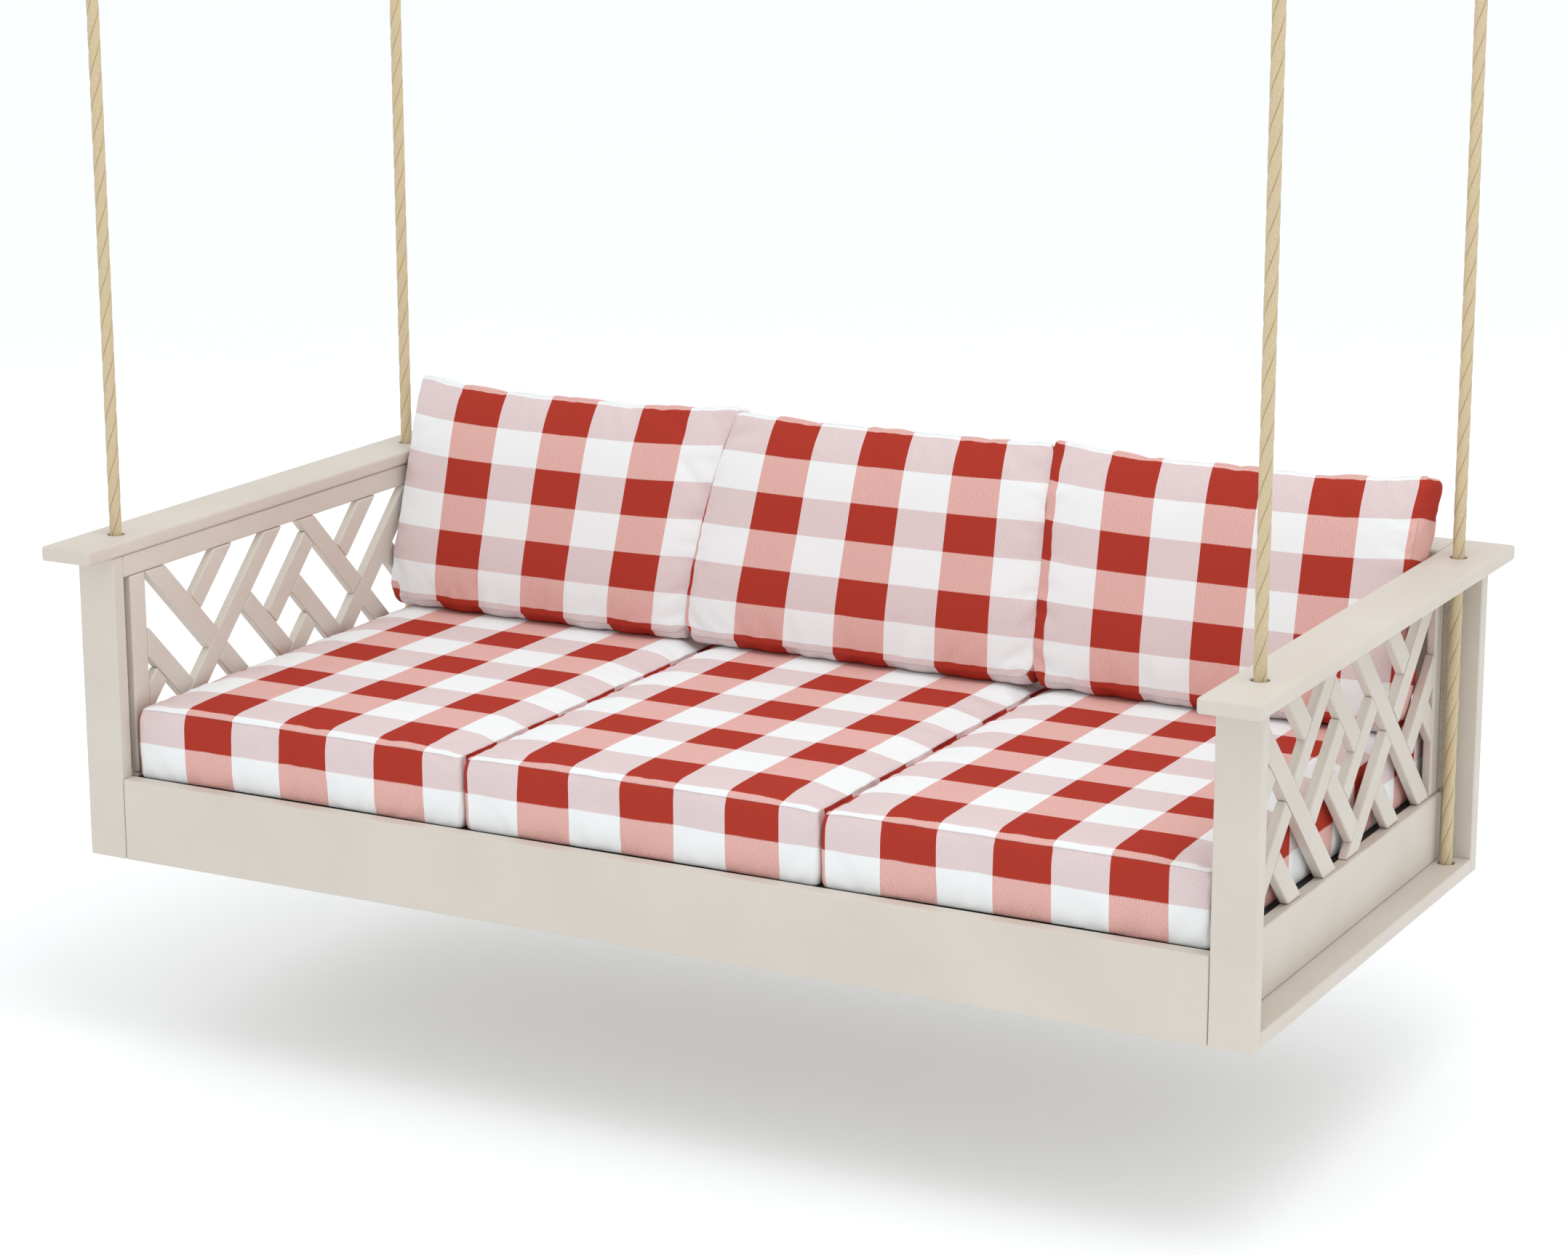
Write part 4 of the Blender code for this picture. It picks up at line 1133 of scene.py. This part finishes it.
def make_hardware(rope, steel, grey):
    """Everything above and below each rope, and the brackets in the corners."""
    for i, (corner, (fx, fy)) in enumerate(CORNERS.items()):
        x, y = fx * ROPE_X, fy * ROPE_Y
        phase = ROPE_PHASE_STEP * i + (ROPE_TOP - HOLE_PIVOT) / ROPE_PITCH
        make_rope_eye(corner, x, y, rope, phase)
        make_thimble(corner, x, y, steel)
        make_quick_link(corner, x, y, steel)
        make_ceiling_plate(corner, x, y, steel)
        make_rope_stop(corner, x, y, steel)
    make_bend_core(rope)
    make_brackets(grey)


# ---------------------------------------------------------------- cushions

def lattice_lines(low, high, step):
    """Lines from low to high, close together beside the seams at both ends."""
    near, inside = SEAM_ROWS
    first, last = low + inside, high - inside
    count = max(2, round((last - first) / step))
    inner = [first + (last - first) * i / count for i in range(count + 1)]
    return [low, low + near] + inner + [high - near, high]


def panelled_mesh(name, lines, shape, cells, metres, seam_axis):
    """A stuffed cover as the skin of a lattice: six panels that share their seams.

    lines holds the lattice places along the three axes, and shape turns a place into a point.
    cells and metres turn a panel's (axis, end) and a place into the two maps. The sewn seams run
    round both panels that lie across seam_axis.
    """
    counts = [len(line) for line in lines]
    index, verts = {}, []
    for key in product(*(range(count) for count in counts)):
        if any(k in (0, count - 1) for k, count in zip(key, counts)):
            index[key] = len(verts)
            verts.append(shape(*(line[k] for line, k in zip(lines, key))))
    faces, corner_maps = [], []
    for axis, end in product(range(3), range(2)):
        across, up = [a for a in range(3) if a != axis]
        order = ((0, 0), (1, 0), (1, 1), (0, 1))
        if end == (axis == 1):
            order = order[::-1]
        for i, j in product(range(counts[across] - 1), range(counts[up] - 1)):
            face = []
            for di, dj in order:
                key = [0, 0, 0]
                key[axis] = end * (counts[axis] - 1)
                key[across], key[up] = i + di, j + dj
                place = [line[k] for line, k in zip(lines, key)]
                face.append(index[tuple(key)])
                corner_maps.append((*cells(axis, end, *place), *metres(axis, end, *place)))
            faces.append(face)
    mesh = bpy.data.meshes.new(name)
    mesh.from_pydata(verts, [], faces)
    maps = np.array(corner_maps)
    for layer, columns in (("check", slice(0, 2)), ("weave", slice(2, 4))):
        made = mesh.uv_layers.new(name=layer)
        made.data.foreach_set("uv", maps[:, columns].ravel())
    mesh.shade_smooth()
    # Each point's distance from its nearest seam, read by the cloth's painted seam shade
    gap = mesh.attributes.new("seam_gap", "FLOAT", "POINT")
    for key, i in index.items():
        edges = [min(line[k] - line[0], line[-1] - line[k]) for line, k in zip(lines, key)]
        ends = edges.pop(seam_axis)
        gap.data[i].value = ends if min(edges) == 0 else min(edges)
    return mesh, index, counts


def rounded_corner(a, b, radius):
    """Moves a place in a square corner onto a round one; a and b are distances from its sides."""
    p, q = radius - a, radius - b
    if p <= 0 or q <= 0:
        return a, b
    scale = max(p, q) / hypot(p, q)
    return radius - p * scale, radius - q * scale


def swell(distance, reach, power):
    """Rises from 0 at a seam to 1 at reach away from it."""
    t = 1 - min(1.0, max(0.0, distance) / reach)
    return (1 - t * t) ** power


def ripple(x, y, z, size):
    """Smooth noise between about -1 and 1, with bumps of the given size."""
    return noise.noise(Vector((x, y, z)) / size)


def fade(distance, reach):
    """Falls from 1 at a seam to 0 at reach away from it."""
    return max(0.0, 1 - distance / reach)


def make_cover(node, lines, shape, cells, metres, seam_axis, look):
    """A cushion's cover as a piece whose seam points are held as a group."""
    mesh, index, counts = panelled_mesh(node, lines, shape, cells, metres, seam_axis)
    piece = mesh_piece(f"{node}_cover", mesh, look, "swing_seat", [node])
    seams = [i for key, i in index.items() if key[seam_axis] in (0, counts[seam_axis] - 1)
             and any(key[a] in (0, counts[a] - 1) for a in range(3) if a != seam_axis)]
    piece.vertex_groups.new(name="seams").add(seams, 1.0, "REPLACE")
    return piece, seams, index


def make_seat_cushions(look):
    """Box cushions. Places run from side to side about the middle, from the front back, and up."""
    made = []
    for number, seat in enumerate(SEATS):
        node = f"seat_cushion_{seat}"
        low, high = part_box(node)
        half, depth = (high.x - low.x) / 2, high.y - low.y
        middle = (low.x + high.x) / 2

        def shape(x, y, z):
            a, b = rounded_corner(half - abs(x), min(y, depth - y), SEAT_CORNER)
            t = z / SEAT_FRONT_SEAM
            above = max(0.0, (t - (1 - SEAT_TUCK_ABOVE)) / SEAT_TUCK_ABOVE)
            below = max(0.0, (SEAT_TUCK_BELOW - t) / SEAT_TUCK_BELOW)
            inset = SEAT_TUCK * (above ** 2 + below ** 2)
            wander = SEAT_WANDER + SEAT_WANDER * ripple(x + 3 * number, y, z, SEAT_WANDER_SIZE)
            a += (inset + wander) * fade(a, SEAT_DRAW_REACH)
            b += (inset + wander) * fade(b, SEAT_DRAW_REACH)
            side_rise = swell(a, *SEAT_SIDE_ROLL)
            front_lift = SEAT_LIFT * cos(pi * x / (2 * half)) * fade(y, SEAT_LIFT_REACH)
            seam = SEAT_SIDE_SEAM + (SEAT_FRONT_SEAM - SEAT_SIDE_SEAM) * side_rise
            if z == 0:
                up = SEAT_FOOT + front_lift + SEAT_FOOT_EDGE * fade(min(a, b), SEAT_FOOT_REACH)
            elif z < SEAT_FRONT_SEAM:
                up = (SEAT_BOXING_FOOT + front_lift) * (1 - t) + seam * t
            else:
                crown = SEAT_CROWN[0] + (SEAT_CROWN[1] - SEAT_CROWN[0]) * swell(y, SEAT_CROWN_REACH, 1.0)
                dimple = ripple(x + 7 * number, y, 0.3, SEAT_DIMPLE_SIZE)
                crown -= SEAT_DIMPLE * max(0.0, 1 + dimple)
                up = seam + (crown - seam) * side_rise * swell(b, *SEAT_FRONT_ROLL)
            end = b if y < depth / 2 else depth - b
            return Vector((middle + (half - a) * (1 if x > 0 else -1), low.y + end, low.z + up))

        def unwrapped(axis, end, x, y):
            if axis == 1:
                return x + half if end == 0 else 3 * half + depth - x
            return 2 * half + y if end else -y

        def cells(axis, end, x, y, z):
            first = SEAT_FIRST_RED[seat]
            if axis == 2:
                return ((x + half - first) / SEAT_CELL[0] + 1, (y - SEAT_FIRST_ROW) / SEAT_CELL[1] + 1)
            return ((unwrapped(axis, end, x, y) - first) / SEAT_CELL[0] + 1,
                    (z - SEAT_ROW_EDGE) / SEAT_CELL[1] + 1)

        def metres(axis, end, x, y, z):
            return (x, y) if axis == 2 else (unwrapped(axis, end, x, y), z)

        spans = ((-half, half), (0, depth), (0, SEAT_FRONT_SEAM))
        piece, seams, index = make_cover(node, [lattice_lines(*span, SEAT_STEP) for span in spans],
                                         shape, cells, metres, 2, look)
        rests = [i for key, i in index.items() if key[2] == 0]
        piece.vertex_groups["seams"].add(rests, 1.0, "REPLACE")
        limits = [(low.x + 0.0002, high.x - 0.0002), (low.y - 0.006, high.y + 0.004),
                  (low.z, high.z - 0.0004)]
        made.append((piece, seams, SEAT_PRESSURE, SEAT_MOST_PUFF, limits))
    return made


def make_back_pillows(look):
    """Soft box pillows. Places run from side to side about the middle, through the thickness,
    and up the front. All of them lean back by the same angle."""
    made = []
    across = Vector((0, cos(PILLOW_LEAN), -sin(PILLOW_LEAN)))
    rise = Vector((0, sin(PILLOW_LEAN), cos(PILLOW_LEAN)))
    for number, seat in enumerate(SEATS):
        node = f"back_pillow_{seat}"
        low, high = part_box(node)
        foot = low.z + 0.0003
        start = Vector((0, PILLOW_FOOT_Y, low.z - PILLOW_EDGE * sin(PILLOW_LEAN)))
        first, cell = PILLOW_FIRST_RED[seat], PILLOW_CELLS[seat]
        corner_rise, sag = PILLOW_TOPS[seat]
        left, right = PILLOW_LEFT_EDGES[seat], PILLOW_RIGHT_EDGES[seat]
        half = (right[0] + right[1] - left[0] - left[1]) / 4

        def middle(z):
            share = z / PILLOW_HEIGHT
            return (left[0] + right[0] + (left[1] + right[1] - left[0] - right[0]) * share) / 2

        def widening(z):
            share = z / PILLOW_HEIGHT
            return (right[0] - left[0] + (right[1] - left[1] - right[0] + left[0]) * share) / 2 / half

        def fold(a, x, z, seed):
            """Small folds that run away from a seam at distance a."""
            depth = PILLOW_FOLD * (fade(a, PILLOW_FOLD_REACH) * swell(a, PILLOW_FOLD_START, 1.0))
            return depth * ripple(x, z, seed, PILLOW_FOLD_SIZE)

        def shape(x, y, z):
            upper, is_right = z > PILLOW_HEIGHT / 2, x > 0
            a, b = rounded_corner(half - abs(x), min(z, PILLOW_HEIGHT - z), PILLOW_CORNERS[upper])
            wave = (ripple(x + 5 * number, z, 9.0, PILLOW_WANDER_SIZE)
                    + 0.5 * ripple(x + 5 * number, z, 4.0, PILLOW_WANDER_SMALL))
            touching = seat == "centre" or is_right == (seat == "left")
            belly = sin(pi * z / PILLOW_HEIGHT)
            pull = PILLOW_TOUCH_PULL if touching else PILLOW_SIDE_PULL[0] * belly + PILLOW_SIDE_PULL[1]
            if (seat, is_right) in (("left", True), ("centre", False)):
                pull += PILLOW_JOIN_CURVE * belly * (1 if seat == "left" else -1)
            a += (pull + PILLOW_SIDE_WANDER * wave) * fade(a, PILLOW_DRAW_REACH)
            b += (PILLOW_END_PULL + PILLOW_END_WANDER * wave) * fade(b, PILLOW_DRAW_REACH)
            if not upper:
                b += PILLOW_FOOT_RISE * fade(b, PILLOW_FOOT_REACH)
            side = y / PILLOW_EDGE
            corner = fade(a, PILLOW_CORNER_REACH) * fade(b, PILLOW_CORNER_REACH)
            thick = PILLOW_EDGE - PILLOW_CORNER_THIN * corner
            if seat == "left" and is_right:
                thick -= PILLOW_TUCKED_THIN * fade(a, PILLOW_TUCKED_REACH)
            if abs(side) == 1:
                thick += ((PILLOW_MIDDLE - PILLOW_EDGE) * swell(a, *PILLOW_SIDE_ROLL)
                          * swell(b, *PILLOW_END_ROLL))
                thick += fold(b, x + 2 * number, z * 0.25, 1.0)
                thick += fold(a, x * 0.25, z + 2 * number, 2.0)
                thick += PILLOW_DIMPLE * ripple(x + 9 * number, z, 5.0, PILLOW_DIMPLE_SIZE)
            else:
                spread = ripple(x + 8 * number, z, 6.0, PILLOW_PUFF_SIZE)
                puff = (1 - side * side) * (1 + PILLOW_PUFF_SPREAD * spread)
                if half - abs(x) < 1e-6:
                    a -= (PILLOW_TOUCH_PUFF if touching else PILLOW_SIDE_PUFF) * puff
                if z == 0:
                    b -= PILLOW_FOOT_PUFF * puff
            up = PILLOW_HEIGHT - b if upper else b
            up += (corner_rise - sag * (1 - (x / half) ** 4)) * z / PILLOW_HEIGHT
            point = start + across * (side * thick) + rise * up
            point.x = middle(up) + (half - a) * widening(up) * (1 if is_right else -1)
            if seat == "right" and is_right:
                flare = max(0.0, up / PILLOW_HEIGHT - PILLOW_FLARE_START)
                point.x += PILLOW_FLARE * flare / PILLOW_FLARE_LENGTH * fade(a, PILLOW_FLARE_REACH)
            point.z = max(point.z, foot + 0.0004 * abs(side))
            return point

        def cells(axis, end, x, y, z):
            z += PILLOW_FOOT_SHIFT * fade(z, PILLOW_FOOT_REACH)
            row = (PILLOW_HEIGHT - PILLOW_TOP_STRIP - z) / PILLOW_ROW + 1
            if axis == 0:
                return (1.5 if end and seat != "left" else 0.5) + 0.49 * y / PILLOW_EDGE, row
            if axis == 2:
                row += (y + PILLOW_EDGE) / PILLOW_ROW * (-1 if end else 1)
            start_here = first[0] + (first[1] - first[0]) * z / PILLOW_HEIGHT
            column = (middle(z) + x - start_here) / cell + 1
            if seat == "right":
                column += PILLOW_SPREAD * max(0.0, x / half) ** 2
            return (max(column, 0.02) if seat == "left" and z > 0.03 else column), row

        def metres(axis, end, x, y, z):
            return ((y, z), (x, z), (x, y))[axis]

        spans = ((-half, half), (-PILLOW_EDGE, PILLOW_EDGE), (0, PILLOW_HEIGHT))
        piece, seams, _ = make_cover(node, [lattice_lines(*span, PILLOW_STEP) for span in spans],
                                     shape, cells, metres, 1, look)
        limits = [(low.x - 0.0005, high.x + (0.010 if seat == "right" else 0.0005)),
                  (low.y - 0.008, high.y + 0.0005), (foot, high.z + 0.010)]
        made.append((piece, seams, PILLOW_PRESSURE, PILLOW_MOST_PUFF, limits))
    return made


def settle_covers(covers):
    """Lets the covers swell and wrinkle between their held seams, then keeps the result."""
    scene = bpy.context.scene
    scene.frame_start, scene.frame_end = 1, SETTLE_FRAMES
    for piece, _, pressure, _, _ in covers:
        cloth = piece.modifiers.new("cover", "CLOTH")
        cloth.collision_settings.use_collision = False
        cloth.point_cache.frame_start, cloth.point_cache.frame_end = 1, SETTLE_FRAMES
        for setting, value in CLOTH.items():
            setattr(cloth.settings, setting, value)
        cloth.settings.uniform_pressure_force = pressure
        cloth.settings.effector_weights.gravity = 0
    for number in range(1, SETTLE_FRAMES + 1):
        scene.frame_set(number)
    graph = bpy.context.evaluated_depsgraph_get()
    settled = []
    for piece, *_ in covers:
        shape = np.empty(3 * len(piece.data.vertices))
        piece.evaluated_get(graph).data.vertices.foreach_get("co", shape)
        settled.append(shape.reshape(-1, 3))
    for (piece, _, _, reach, _), shape in zip(covers, settled):
        piece.modifiers.clear()
        rest = np.empty(shape.size)
        piece.data.vertices.foreach_get("co", rest)
        rest = rest.reshape(-1, 3)
        moved = shape - rest
        length = np.linalg.norm(moved, axis=1, keepdims=True)
        moved *= reach * np.tanh(length / reach) / np.maximum(length, 1e-9)
        piece.data.vertices.foreach_set("co", (rest + moved).ravel())
    scene.frame_set(1)


def finish_covers(covers):
    """Draws the seams in, keeps each cover clear of its neighbours, and smooths it."""
    for piece, seams, _, _, limits in covers:
        mesh = piece.data
        mesh.update()
        pulled = {i: mesh.vertices[i].co - mesh.vertices[i].normal * SEAM_DEPTH for i in seams}
        for i, place in pulled.items():
            mesh.vertices[i].co = place
        points = np.empty(3 * len(mesh.vertices))
        mesh.vertices.foreach_get("co", points)
        points = points.reshape(-1, 3)
        origin = np.array(piece.matrix_world.translation)
        low, high = (np.array(side) - origin for side in zip(*limits))
        mesh.vertices.foreach_set("co", np.clip(points, low, high).ravel())
        mesh.update()
        piece.vertex_groups.clear()
        smooth = piece.modifiers.new("smooth", "SUBSURF")
        smooth.levels = smooth.render_levels = 1


def make_covers(look):
    """All six cushions."""
    covers = make_seat_cushions(look) + make_back_pillows(look)
    settle_covers(covers)
    finish_covers(covers)


# ---------------------------------------------------------------- floor and light

def make_floor(look):
    """A wide flat floor for the shadow. It belongs to the picture, not to the part."""
    mesh = bpy.data.meshes.new("floor")
    corners = ((-1, -1), (1, -1), (1, 1), (-1, 1))
    mesh.from_pydata([(x * FLOOR_REACH, y * FLOOR_REACH, BASE - FLOOR_DROP) for x, y in corners],
                     [], [(0, 1, 2, 3)])
    mesh.materials.append(look)
    floor_piece = bpy.data.objects.new("floor", mesh)
    bpy.context.scene.collection.objects.link(floor_piece)


def make_lights():
    """A white sky all round, and one large soft lamp above the right of the front."""
    world = bpy.data.worlds.new("studio")
    bpy.context.scene.world = world
    world.use_nodes = True
    sky = world.node_tree.nodes["Background"]
    sky.inputs["Color"].default_value = (1, 1, 1, 1)
    sky.inputs["Strength"].default_value = SKY_STRENGTH
    lamp = bpy.data.lights.new("key_light", "AREA")
    lamp.shape = "RECTANGLE"
    lamp.size = lamp.size_y = KEY_LIGHT_SIZE
    lamp.energy = KEY_LIGHT_POWER
    light = bpy.data.objects.new("key_light", lamp)
    light.location = KEY_LIGHT_AT
    aim = Vector(KEY_LIGHT_TARGET) - Vector(KEY_LIGHT_AT)
    light.rotation_euler = aim.to_track_quat("-Z", "Y").to_euler()
    bpy.context.scene.collection.objects.link(light)
    bpy.context.scene.view_settings.view_transform = "Standard"


# ---------------------------------------------------------------- assembly

def finish_carried_over(looks):
    """Gives every CAD node that still shows its detailed material."""
    slots = {row["node"]: row["material_slot"] for row in frame["record"]["subparts"]}
    for node, piece in frame["nodes"].items():
        if not piece.hide_render:
            for held in piece.material_slots:
                held.material = looks[slots[node]]


def main():
    make_camera()
    looks = {"lumber": lumber_look(), "check_fabric": check_look(), "tan_rope": rope_look(),
             "galvanised_steel": steel_look("galvanised_steel", STEEL, 0.38),
             "black_mesh": mesh_look()}
    grey = steel_look("matt_zinc", ZINC, 0.62, 0.35)
    make_hardware(looks["tan_rope"], looks["galvanised_steel"], grey)
    make_ropes(looks["tan_rope"])
    make_boards(looks["lumber"])
    make_deck(looks["lumber"], looks["galvanised_steel"])
    make_lattices(looks["lumber"])
    make_covers(looks["check_fabric"])
    finish_carried_over(looks)
    make_floor(floor_look())
    make_lights()


main()
